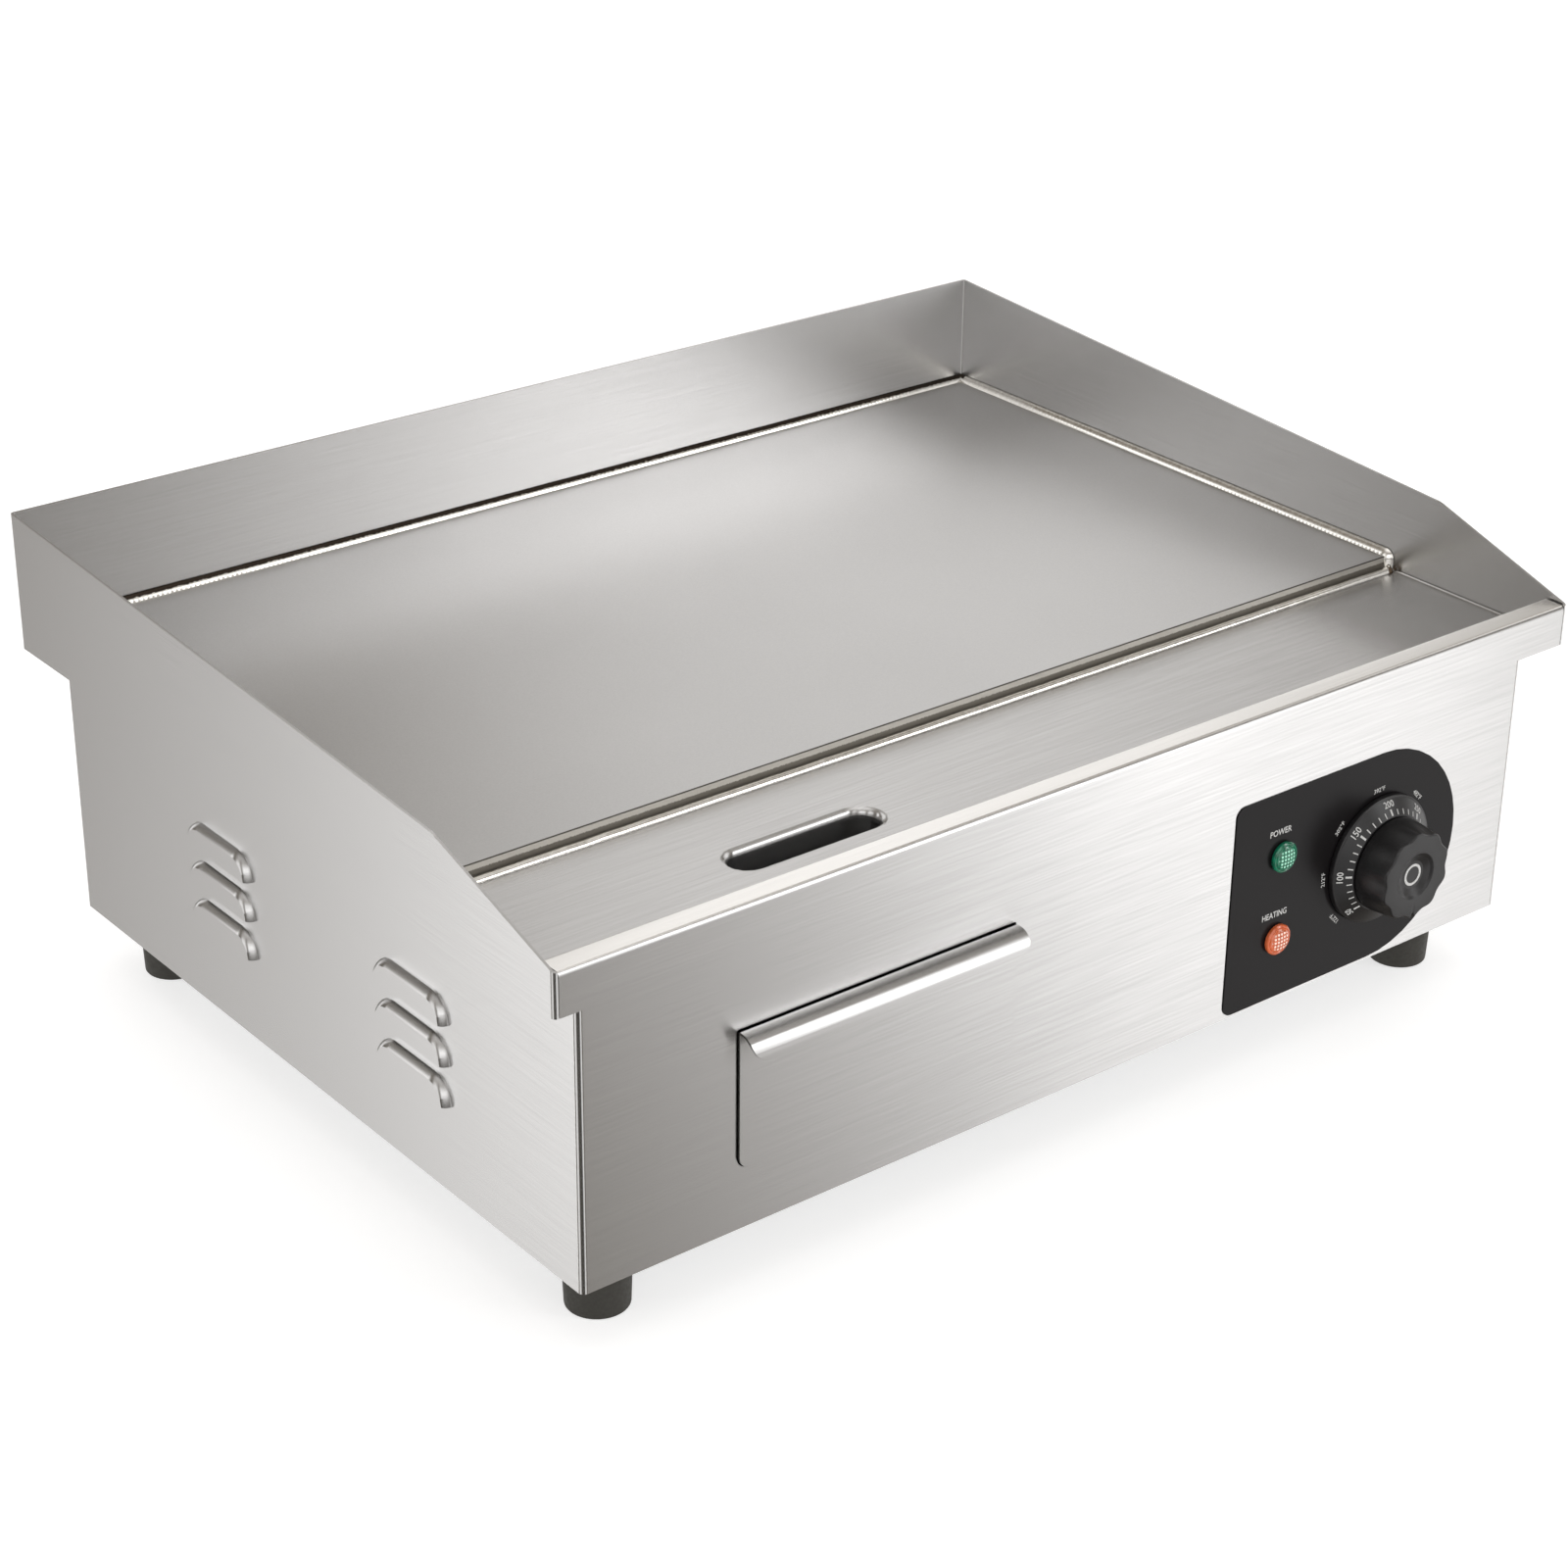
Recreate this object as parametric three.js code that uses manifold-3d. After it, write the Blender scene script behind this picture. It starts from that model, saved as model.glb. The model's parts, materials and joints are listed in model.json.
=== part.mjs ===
// Countertop electric griddle: a folded steel case on rubber feet, a steel cooking plate inside a
// three-sided splash guard, a grease shelf with a drain slot above a pull-out drawer, and a
// thermostat dial with two lamps. Millimetres, +Z up, +Y to the back, front face towards -Y.
// Origin: on the ground, in the middle of the overall footprint.
import * as THREE from 'three';
import { mergeVertices } from 'three/addons/utils/BufferGeometryUtils.js';
import Module from 'manifold-3d';

const wasm = await Module();
wasm.setup();

// ---------------------------------------------------------------- driving dimensions
const SHEET = 1.2; // stainless sheet of the case and the splash guard
const THIN = 0.8; // sheet of the drawer, chute and brackets
const GAP = 0.3; // clearance kept between separate pieces
const BEND = 1.4; // mid-line radius of a press-brake bend

const GUARD = { halfWidth: 275, front: -200, back: 211.6, bottom: 162, top: 226 };
const GUARD_KNEE = { y: -122.2, z: 205.9, radius: 18 };
const RIM = { top: 181, depth: 11.4 };
const SHELF_TOP = 164.3;
const SHELF_BACK = -83;
const PLATE = { front: -95.5, thickness: 6.5, wallGap: 0.6 };
const PLATE_BOTTOM = SHELF_TOP + GAP;
const PLATE_TOP = PLATE_BOTTOM + PLATE.thickness;
const BEAD = 3.4; // leg of the weld fillets
const SHELF_BEAD = 4.9; // width of the fillet along the shelf
const SHELF_COVE = 1; // radius of the turned-up edge where the shelf meets the side walls
const SLOT = { x: -117, y: -145.8, length: 80, width: 22.5, roll: 3 };

const CASE = { halfWidth: 258.8, front: -190.5, back: 203.8, bottom: 31, top: 162.8 };
const CASE_BEND = 2; // mid-line radius of the case's upright corners
const FLANGE = { sides: 246, front: -177, back: 194, inset: 0.4 }; // inner edges of the turned-in flanges
const REAR_PANEL_BACK = 205.3;
const BASE_BOTTOM = CASE.bottom + FLANGE.inset + SHEET + GAP;

const LOUVRE = { length: 52, height: 11.5, proud: 3.5, pitch: 18.5, lowest: 72, rows: 3 };
const LOUVRE_CENTRES = [-77.2, 71.4];
const LOUVRE_OUTSIDE = [[0, -0.6], [0, 0], [0.9, 2.3], [2.4, LOUVRE.proud]];
const LOUVRE_INSIDE = [[1.2, -3], [1.2, 0], [1.9, 1.7], [2.9, LOUVRE.proud - SHEET]];

const DRAWER = { left: -184.6, right: -43.3, bottom: 59, top: 121, corner: 5.5, depth: 214 };
const DRAWER_PROUD = 1.4; // how far the drawer front stands out from the case
const DRAWER_GAP = 0.5; // slit left round the drawer front
const LIP = { reach: 9, radius: 8.2, skirt: 2, corner: 8 };

const DIAL = { x: 172.5, z: 83.2 };
const OVERLAY = { left: 81.6, radius: 50.8, corner: 5, thickness: 0.4 };
const LAMP_X = 111.4;
const LAMPS = { power: 102.8, heating: 62.3 };
const LAMP_HOLE = 6;
const BUSH_HOLE = 6.2;
const KNOB_FACE = 24.5; // height of the knob's face above the case front

const FOOT = { x: 230.5, front: -160, back: 177.7, bottomRadius: 13.4, topRadius: 14.6 };

const ELEMENT = { radius: 4, pitch: 30, runs: 4, reach: 205, fronts: [-60, 70], terminalX: 215 };
const ELEMENT_Z = PLATE_BOTTOM - GAP - ELEMENT.radius;
const CLAMP = { xs: [-120, 120], width: 25, thickness: 3, top: ELEMENT_Z - ELEMENT.radius - GAP };
const STUD_YS = [-15, 115];
const SHIELD_Z = 139;
const CABLE = { x: 205, z: 62 };

// ---------------------------------------------------------------- finishes
const FINISH = {
  stainless: { color: '#bdbab4', roughness: 0.32, metalness: 1 },
  plateSteel: { color: '#b9b8b6', roughness: 0.42, metalness: 1 },
  weld: { color: '#c9c4bb', roughness: 0.35, metalness: 1 },
  galvanised: { color: '#a9adaf', roughness: 0.5, metalness: 1 },
  zincSteel: { color: '#c4c6c8', roughness: 0.35, metalness: 1 },
  elementSheath: { color: '#4a4845', roughness: 0.6, metalness: 1 },
  copper: { color: '#b4714a', roughness: 0.4, metalness: 1 },
  brass: { color: '#b59a55', roughness: 0.35, metalness: 1 },
  blackPlastic: { color: '#1b1a1a', roughness: 0.45, metalness: 0 },
  membrane: { color: '#222021', roughness: 0.4, metalness: 0 },
  rubber: { color: '#2c2b28', roughness: 0.8, metalness: 0 },
  greenLens: { color: '#0f7a55', roughness: 0.15, metalness: 0 },
  orangeLens: { color: '#d9663a', roughness: 0.15, metalness: 0 },
  ceramic: { color: '#e4dfd2', roughness: 0.7, metalness: 0 },
  fibre: { color: '#e9e7df', roughness: 0.95, metalness: 0 },
  wireSleeve: { color: '#8d3b2c', roughness: 0.8, metalness: 0 },
};

const griddle = new THREE.Group();

/** Adds one finished piece to the griddle. */
function add(name, geometry, finish, parent = griddle) {
  const mesh = new THREE.Mesh(geometry, new THREE.MeshStandardMaterial(finish));
  mesh.name = name;
  parent.add(mesh);
  return mesh;
}

// ---------------------------------------------------------------- solids
/** A closed geometry as a solid that can be cut and joined. */
function solid(geometry) {
  const bare = geometry.clone();
  bare.deleteAttribute('normal');
  bare.deleteAttribute('uv');
  const merged = mergeVertices(bare, 1e-4);
  const corners = merged.index.array;
  const triVerts = [];
  for (let i = 0; i < corners.length; i += 3) {
    const [a, b, c] = corners.slice(i, i + 3);
    if (a !== b && b !== c && c !== a) triVerts.push(a, b, c);
  }
  return new wasm.Manifold(new wasm.Mesh({
    numProp: 3,
    vertProperties: Float32Array.from(merged.attributes.position.array),
    triVerts: Uint32Array.from(triVerts),
  }));
}

/** The geometry of a finished solid. */
function skin(manifold) {
  const mesh = manifold.getMesh();
  const geometry = new THREE.BufferGeometry();
  geometry.setAttribute('position', new THREE.BufferAttribute(Float32Array.from(mesh.vertProperties), 3));
  geometry.setIndex(new THREE.BufferAttribute(Uint32Array.from(mesh.triVerts), 1));
  geometry.computeVertexNormals();
  return geometry;
}

/** First solid with all the others joined to it. */
function join(first, ...others) {
  return others.reduce((sum, other) => sum.add(solid(other)), solid(first));
}

/** A solid with every cutter taken away. */
function cut(body, ...cutters) {
  return cutters.reduce((rest, cutter) => rest.subtract(solid(cutter)), body);
}

// ---------------------------------------------------------------- shapes
/** Box between two corners. */
function block([x0, y0, z0], [x1, y1, z1]) {
  const box = new THREE.BoxGeometry(x1 - x0, y1 - y0, z1 - z0);
  return box.translate((x0 + x1) / 2, (y0 + y1) / 2, (z0 + z1) / 2);
}

/** Outline (x, y) carried up from z0 to z1. */
function prismZ(shape, z0, z1, curveSegments = 6) {
  const options = { depth: z1 - z0, bevelEnabled: false, curveSegments };
  return new THREE.ExtrudeGeometry(shape, options).translate(0, 0, z0);
}

/** Outline (x, z) carried back from y0 to y1. */
function prismY(shape, y0, y1, curveSegments = 6) {
  return prismZ(shape, -y1, -y0, curveSegments).rotateX(Math.PI / 2);
}

/** Outline (y, z) carried across from x0 to x1. */
function prismX(shape, x0, x1, curveSegments = 6) {
  const turn = new THREE.Matrix4().set(0, 0, 1, 0, 1, 0, 0, 0, 0, 1, 0, 0, 0, 0, 0, 1);
  return prismZ(shape, x0, x1, curveSegments).applyMatrix4(turn);
}

/** Cylinder with its axis along X, Y or Z; u and v are its centre in the other two axes. */
function rod(axis, radius, from, to, u, v, sides = 16) {
  const shape = new THREE.Shape();
  shape.absarc(u, v, radius, 0, 2 * Math.PI);
  const carry = { x: prismX, y: prismY, z: prismZ }[axis];
  return carry(shape, from, to, sides);
}

/** Regular hexagon of the given width across flats. */
function hexagon(u, v, acrossFlats) {
  const radius = acrossFlats / Math.sqrt(3);
  const corners = Array.from({ length: 6 }, (_, i) => {
    const angle = (i * Math.PI) / 3;
    return new THREE.Vector2(u + radius * Math.cos(angle), v + radius * Math.sin(angle));
  });
  return new THREE.Shape(corners);
}

/** Rectangle with its own radius at each corner: bottom left, bottom right, top right, top left. */
function rectangle(u0, v0, u1, v1, radii = [0, 0, 0, 0]) {
  const [a, b, c, d] = radii;
  const shape = new THREE.Shape();
  shape.moveTo(u0 + a, v0);
  shape.lineTo(u1 - b, v0);
  if (b) shape.absarc(u1 - b, v0 + b, b, -Math.PI / 2, 0);
  shape.lineTo(u1, v1 - c);
  if (c) shape.absarc(u1 - c, v1 - c, c, 0, Math.PI / 2);
  shape.lineTo(u0 + d, v1);
  if (d) shape.absarc(u0 + d, v1 - d, d, Math.PI / 2, Math.PI);
  shape.lineTo(u0, v0 + a);
  if (a) shape.absarc(u0 + a, v0 + a, a, Math.PI, 1.5 * Math.PI);
  return shape;
}

/** Punches a round hole into an outline. */
function punch(shape, u, v, radius) {
  const hole = new THREE.Path();
  hole.absarc(u, v, radius, 0, 2 * Math.PI, true);
  shape.holes.push(hole);
  return shape;
}

/** Points along a route, with every inner corner turned into an arc of the given radius. */
function roundCorners(points, radius, steps) {
  const corners = points.map((point) => new THREE.Vector3(...point));
  const route = [corners[0]];
  for (let i = 1; i < corners.length - 1; i += 1) {
    const back = corners[i - 1].clone().sub(corners[i]).normalize();
    const ahead = corners[i + 1].clone().sub(corners[i]).normalize();
    const half = back.angleTo(ahead) / 2;
    const bend = Array.isArray(radius) ? radius[i - 1] : radius;
    const inward = back.clone().add(ahead).normalize().multiplyScalar(bend / Math.sin(half));
    const centre = corners[i].clone().add(inward);
    const from = corners[i].clone().addScaledVector(back, bend / Math.tan(half)).sub(centre);
    const to = corners[i].clone().addScaledVector(ahead, bend / Math.tan(half)).sub(centre);
    const sweep = from.angleTo(to);
    for (let k = 0; k <= steps; k += 1) {
      const share = k / steps;
      const spoke = from.clone().multiplyScalar(Math.sin((1 - share) * sweep) / Math.sin(sweep));
      spoke.addScaledVector(to, Math.sin(share * sweep) / Math.sin(sweep));
      route.push(centre.clone().add(spoke));
    }
  }
  route.push(corners[corners.length - 1]);
  return route;
}

/** Outline of a sheet of even thickness whose mid-line runs through the corners given. */
function foldedSheet(corners, thickness, radius = BEND, steps = 4) {
  const line = roundCorners(corners.map(([u, v]) => [u, v, 0]), radius, steps);
  const side = (sign) => line.map((point, i) => {
    const before = point.clone().sub(line[Math.max(i - 1, 0)]);
    const after = line[Math.min(i + 1, line.length - 1)].clone().sub(point);
    if (i === 0) before.copy(after);
    if (i === line.length - 1) after.copy(before);
    before.normalize();
    after.normalize();
    const along = before.clone().add(after).normalize();
    const offset = (sign * thickness) / 2 / along.dot(after);
    return new THREE.Vector2(point.x - along.y * offset, point.y + along.x * offset);
  });
  return new THREE.Shape([...side(1), ...side(-1).reverse()]);
}

/** Stadium outline, with the outward direction at each point. */
function stadium(x, y, length, width, steps = 8) {
  const radius = width / 2;
  const points = [];
  [[x + length / 2 - radius, -Math.PI / 2], [x - length / 2 + radius, Math.PI / 2]].forEach(([u, start]) => {
    for (let k = 0; k <= steps; k += 1) {
      const angle = start + (k * Math.PI) / steps;
      const out = new THREE.Vector2(Math.cos(angle), Math.sin(angle));
      points.push({ at: new THREE.Vector2(u, y).addScaledVector(out, radius), out });
    }
  });
  return points;
}

/** Ring made by carrying a closed section, given as (outward, height) points, around an outline. */
function ringAround(outline, section) {
  const rows = section.length;
  const positions = outline.flatMap(({ at, out }) => section.flatMap(([outward, height]) => [
    at.x + out.x * outward,
    at.y + out.y * outward,
    height,
  ]));
  const faces = [];
  outline.forEach((_, i) => section.forEach((__, j) => {
    const here = i * rows;
    const next = ((i + 1) % outline.length) * rows;
    const up = (j + 1) % rows;
    faces.push(here + j, next + j, next + up, here + j, next + up, here + up);
  }));
  const geometry = new THREE.BufferGeometry();
  geometry.setAttribute('position', new THREE.Float32BufferAttribute(positions, 3));
  geometry.setIndex(faces);
  geometry.computeVertexNormals();
  return geometry;
}

/** Turned piece: (radius, height) profile spun about the upright axis. */
function turned(profile, segments = 32) {
  return new THREE.LatheGeometry(profile.map(([r, h]) => new THREE.Vector2(r, h)), segments);
}

/** Turned piece standing upright on a point. */
function turnedUp(profile, x, y, segments) {
  return turned(profile, segments).rotateX(Math.PI / 2).translate(x, y, 0);
}

/** Turned piece standing out of the case front, its heights measured from the front face. */
function turnedFront(profile, x, z, segments) {
  return turned(profile, segments).rotateX(Math.PI).translate(x, CASE.front, z);
}

/** Turned piece standing out of the rear panel. */
function turnedRear(profile, x, z, segments) {
  return turned(profile, segments).translate(x, REAR_PANEL_BACK, z);
}

/** Route that is sampled exactly at its own points. */
class Route extends THREE.Curve {
  constructor(points) {
    super();
    this.points = points;
  }

  getPoint(t, target = new THREE.Vector3()) {
    const place = t * (this.points.length - 1);
    const i = Math.max(0, Math.min(Math.floor(place), this.points.length - 2));
    return target.copy(this.points[i]).lerp(this.points[i + 1], place - i);
  }

  getPointAt(u, target) {
    return this.getPoint(u, target);
  }

  getTangentAt(u, target) {
    return this.getTangent(u, target);
  }
}

/** Tube with round bends through the points given. */
function tube(points, radius, bend, steps = 4, sides = 8) {
  const route = new Route(roundCorners(points, bend, steps));
  const corners = Array.from({ length: sides }, (_, i) => {
    const angle = (2 * Math.PI * i) / sides;
    return new THREE.Vector2(radius * Math.cos(angle), radius * Math.sin(angle));
  });
  const options = { steps: route.points.length - 1, extrudePath: route, bevelEnabled: false };
  return new THREE.ExtrudeGeometry(new THREE.Shape(corners), options);
}

// ---------------------------------------------------------------- splash guard, shelf and plate
/** Back and side walls in one sheet, cut to the sloping side outline. */
function splashGuard() {
  const side = GUARD.halfWidth - SHEET / 2;
  const front = GUARD.front + SHEET / 2;
  const back = GUARD.back - SHEET / 2;
  const returnEdge = side - BEND;
  const plan = foldedSheet(
    [[-returnEdge, front], [-side, front], [-side, back], [side, back], [side, front], [returnEdge, front]],
    SHEET,
    BEND - 0.05,
  );
  const walls = solid(prismZ(plan, GUARD.bottom, GUARD.top));
  const outline = roundCorners([
    [GUARD.back + 1, GUARD.top, 0],
    [GUARD_KNEE.y, GUARD_KNEE.z, 0],
    [GUARD.front, RIM.top, 0],
  ], GUARD_KNEE.radius, 6).map((point) => new THREE.Vector2(point.x, point.y));
  const below = [[GUARD.front - 1, RIM.top], [GUARD.front - 1, 100], [GUARD.back + 1, 100]];
  const sideView = new THREE.Shape([...outline, ...below.map(([y, z]) => new THREE.Vector2(y, z))]);
  const keep = solid(prismX(sideView, -GUARD.halfWidth - 1, GUARD.halfWidth + 1));
  add('splash_guard', skin(walls.intersect(keep)), FINISH.stainless);
}

/** Front skirt, rim, riser and grease shelf in one folded sheet, with a rolled-down drain slot. */
function frontShelf() {
  const face = GUARD.front + SHEET / 2;
  const riser = GUARD.front + RIM.depth;
  const section = foldedSheet([
    [face, GUARD.bottom],
    [face, RIM.top - SHEET / 2],
    [riser, RIM.top - SHEET / 2],
    [riser, SHELF_TOP - SHEET / 2],
    [SHELF_BACK, SHELF_TOP - SHEET / 2],
  ], SHEET);
  const halfWidth = GUARD.halfWidth - SHEET / 2 - BEND - GAP;
  const wall = GUARD.halfWidth - SHEET - GAP;
  const outline = stadium(SLOT.x, SLOT.y, SLOT.length, SLOT.width);
  const opening = new THREE.Shape(outline.map(({ at }) => at));
  const roll = (radius, from, to) => Array.from({ length: 5 }, (_, k) => {
    const angle = from + ((to - from) * k) / 4;
    return [
      -SLOT.roll + (radius - radius * Math.cos(angle)),
      SHELF_TOP - SLOT.roll + radius * Math.sin(angle),
    ];
  });
  const top = roll(SLOT.roll, Math.PI / 2, 0);
  const underside = roll(SLOT.roll - SHEET, 0, Math.PI / 2)
    .map(([outward, height]) => [outward + SHEET, height]);
  const collar = ringAround(outline, [
    [1, SHELF_TOP],
    ...top,
    [-SLOT.roll, SHELF_TOP - SLOT.roll - 1.5],
    [-SLOT.roll + SHEET, SHELF_TOP - SLOT.roll - 1.5],
    ...underside,
    [1, SHELF_TOP - SHEET],
  ]);
  const cove = (side) => {
    const shape = new THREE.Shape();
    shape.moveTo(side * wall, SHELF_TOP - SHEET);
    shape.lineTo(side * wall, SHELF_TOP + SHELF_COVE);
    shape.absarc(
      side * (wall - SHELF_COVE), SHELF_TOP + SHELF_COVE, SHELF_COVE,
      side > 0 ? 0 : Math.PI, 1.5 * Math.PI, side > 0,
    );
    shape.lineTo(side * (wall - SHELF_COVE), SHELF_TOP - SHEET);
    return prismY(shape, riser + SHEET, PLATE.front - SHELF_BEAD - GAP, 4);
  };
  const sheet = join(prismX(section, -halfWidth, halfWidth), cove(-1), cove(1));
  const slotted = cut(sheet, prismZ(opening, SHELF_TOP - 5, SHELF_TOP + 5));
  add('front_shelf', skin(slotted.add(solid(collar))), FINISH.stainless);
}

/** Thick cooking plate. */
function griddlePlate() {
  const side = GUARD.halfWidth - SHEET - PLATE.wallGap;
  const back = GUARD.back - SHEET - PLATE.wallGap;
  const slab = block([-side, PLATE.front, PLATE_BOTTOM], [side, back, PLATE_TOP]);
  add('griddle_plate', slab, FINISH.plateSteel);
}

/** Weld fillets that seal the plate to the walls and to the shelf. */
function weldBeads() {
  const wallX = GUARD.halfWidth - SHEET - GAP;
  const wallY = GUARD.back - SHEET - GAP;
  const z0 = PLATE_TOP + 0.1;
  const fillet = (at, side) => {
    const points = [0, 30, 60, 90].map((degrees) => {
      const angle = (degrees * Math.PI) / 180;
      return new THREE.Vector2(at - side * BEAD * Math.cos(angle), z0 + BEAD * Math.sin(angle));
    });
    return new THREE.Shape([new THREE.Vector2(at, z0), ...points]);
  };
  const left = prismY(fillet(-wallX, -1), PLATE.front, wallY);
  const right = prismY(fillet(wallX, 1), PLATE.front, wallY);
  const back = prismX(fillet(wallY, 1), -wallX, wallX);
  add('plate_weld_bead', skin(join(left, right, back)), FINISH.weld);
  const front = new THREE.Shape();
  front.moveTo(PLATE.front - SHELF_BEAD, SHELF_TOP + 0.1);
  front.lineTo(PLATE.front - GAP, SHELF_TOP + 0.1);
  front.lineTo(PLATE.front - GAP, SHELF_TOP + 1.6);
  front.quadraticCurveTo(PLATE.front - BEAD, SHELF_TOP + 2.4, PLATE.front - SHELF_BEAD, SHELF_TOP + 0.1);
  add('shelf_weld_bead', prismX(front, -wallX + 1, wallX - 1, 4), FINISH.weld);
}

/** Heat-resistant gasket strip between the case's top flange and the plate. */
function plateGasket() {
  const z0 = CASE.top - FLANGE.inset + GAP;
  const z1 = PLATE_BOTTOM - GAP;
  const outer = CASE.halfWidth - 4;
  const inner = FLANGE.sides;
  const front = SHELF_BACK + 1;
  const back = CASE.back - 4;
  const shape = new THREE.Shape([
    [-outer, front], [-inner, front], [-inner, FLANGE.back], [inner, FLANGE.back],
    [inner, front], [outer, front], [outer, back], [-outer, back],
  ].map(([x, y]) => new THREE.Vector2(x, y)));
  add('plate_gasket', prismZ(shape, z0, z1), FINISH.fibre);
}

// ---------------------------------------------------------------- case
/** Solid lofted through rows of points, all with the same count, closed by flat ends. */
function loft(rows) {
  const count = rows[0].length;
  const faces = [];
  rows.slice(1).forEach((_, k) => {
    for (let i = 0; i < count; i += 1) {
      const here = k * count;
      const there = here + count;
      const next = (i + 1) % count;
      faces.push(here + i, here + next, there + next, here + i, there + next, there + i);
    }
  });
  const last = (rows.length - 1) * count;
  for (let i = 1; i < count - 1; i += 1) {
    faces.push(0, i + 1, i, last, last + i, last + i + 1);
  }
  const geometry = new THREE.BufferGeometry();
  geometry.setAttribute('position', new THREE.Float32BufferAttribute(rows.flat(2), 3));
  geometry.setIndex(faces);
  return geometry;
}

/**
 * Pressed louvre blister on one side of the case: half-stadium outlines that shrink as they stand
 * proud, open below. The section lists (inset, proud) pairs from the sheet outwards.
 */
function louvreBlister(side, y, bottom, z, section) {
  const steps = 4;
  const rows = section.map(([inset, proud]) => {
    const reach = LOUVRE.length / 2 - LOUVRE.height;
    const radius = LOUVRE.height - inset;
    const row = [[-reach - radius, bottom - z], [reach + radius, bottom - z]];
    [[reach, 0], [-reach, Math.PI / 2]].forEach(([centre, start]) => {
      for (let k = 0; k <= steps; k += 1) {
        const angle = start + (k * Math.PI) / 2 / steps;
        row.push([centre + radius * Math.cos(angle), radius * Math.sin(angle)]);
      }
    });
    return row.map(([along, up]) => [side * (CASE.halfWidth + proud), y + side * along, z + up]);
  });
  return loft(rows);
}

/** Front and both sides in one folded sheet, with turned-in flanges and the louvres. */
function caseWrap() {
  const side = CASE.halfWidth - SHEET / 2;
  const front = CASE.front + SHEET / 2;
  const back = CASE.back - SHEET / 2;
  const plan = foldedSheet(
    [[-FLANGE.sides, back], [-side, back], [-side, front], [side, front], [side, back], [FLANGE.sides, back]],
    SHEET,
    CASE_BEND,
    5,
  );
  const flange = (z0) => {
    const edge = rectangle(-side, front, side, back, [2, 2, 2, 2]);
    const hole = rectangle(-FLANGE.sides, FLANGE.front, FLANGE.sides, FLANGE.back);
    edge.holes.push(new THREE.Path(hole.getPoints()));
    return prismZ(edge, z0, z0 + SHEET, 2);
  };
  const lower = flange(CASE.bottom + FLANGE.inset);
  const upper = flange(CASE.top - SHEET - FLANGE.inset);
  let body = join(prismZ(plan, CASE.bottom, CASE.top), lower, upper);
  const window = rectangle(
    DRAWER.left - DRAWER_GAP, DRAWER.bottom - DRAWER_GAP,
    DRAWER.right + DRAWER_GAP, DRAWER.top + DRAWER_GAP,
    [DRAWER.corner + DRAWER_GAP, DRAWER.corner + DRAWER_GAP, 1, 1],
  );
  const through = [CASE.front - 5, CASE.front + 5];
  body = cut(
    body,
    prismY(window, ...through),
    rod('y', BUSH_HOLE, ...through, DIAL.x, DIAL.z),
    ...Object.values(LAMPS).map((z) => rod('y', LAMP_HOLE, ...through, LAMP_X, z)),
    ...rearScrewPlaces().map(([x, z]) => rod('y', 2.1, CASE.back - 5, CASE.back + 5, x, z, 8)),
  );
  [-1, 1].forEach((direction) => LOUVRE_CENTRES.forEach((y) => {
    for (let row = 0; row < LOUVRE.rows; row += 1) {
      const z = LOUVRE.lowest + row * LOUVRE.pitch;
      body = body.add(solid(louvreBlister(direction, y, z, z, LOUVRE_OUTSIDE)));
      body = cut(body, louvreBlister(direction, y, z - GAP, z, LOUVRE_INSIDE));
    }
  }));
  add('case_wrap', skin(body), FINISH.stainless);
}

/** Centres (x, z) of the rear panel's screws. */
function rearScrewPlaces() {
  return [-1, 1].flatMap((side) => [50, 145].map((z) => [side * (FLANGE.sides + 5.5), z]));
}

/** Flat rear panel with its cable hole. */
function rearPanel() {
  const shape = rectangle(-256.5, CASE.bottom + 0.5, 256.5, CASE.top - 0.3, [2, 2, 2, 2]);
  rearScrewPlaces().forEach(([x, z]) => punch(shape, x, z, 2.1));
  punch(shape, CABLE.x, CABLE.z, 8.4);
  add('rear_panel', prismY(shape, CASE.back + GAP, REAR_PANEL_BACK, 6), FINISH.stainless);
  rearScrewPlaces().forEach(([x, z], i) => {
    const head = [[0, 2.3], [2.2, 2.3], [3.4, 1.6], [3.8, 0.3], [1.8, 0.3], [1.8, -6], [0, -6]];
    const screw = turnedRear(head.reverse(), x, z, 12);
    add(`rear_panel_screw_${i + 1}`, screw, FINISH.zincSteel);
  });
}

/** Bottom sheet, resting on the case's lower flange. */
function basePlate() {
  const side = CASE.halfWidth - SHEET - 1;
  const shape = rectangle(-side, CASE.front + SHEET + 1, side, CASE.back - SHEET - 1, [2, 2, 2, 2]);
  feetPlaces().forEach(([, x, y]) => punch(shape, x, y, 2.8));
  add('base_plate', prismZ(shape, BASE_BOTTOM, BASE_BOTTOM + SHEET, 6), FINISH.galvanised);
}

/** Name and centre of each foot. */
function feetPlaces() {
  return [
    ['front_left', -FOOT.x, FOOT.front],
    ['front_right', FOOT.x, FOOT.front],
    ['rear_left', -FOOT.x, FOOT.back],
    ['rear_right', FOOT.x, FOOT.back],
  ];
}

/** Tapered rubber feet, each with its screw up through the base plate. */
function feet() {
  const top = BASE_BOTTOM - GAP;
  feetPlaces().forEach(([place, x, y]) => {
    const foot = [
      [2.8, 10], [6.5, 10], [6.5, 0], [FOOT.bottomRadius - 1, 0], [FOOT.bottomRadius, 1],
      [FOOT.topRadius, top], [2.8, top], [2.8, 10],
    ];
    add(`foot_${place}`, turnedUp(foot, x, y, 24), FINISH.rubber);
    const screw = [
      [0, 6.2], [3.4, 6.6], [4.6, 9.7], [2.4, 9.7], [2.4, top + 8], [0, top + 8],
    ];
    add(`foot_screw_${place}`, turnedUp(screw, x, y, 12), FINISH.zincSteel);
  });
}

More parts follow.
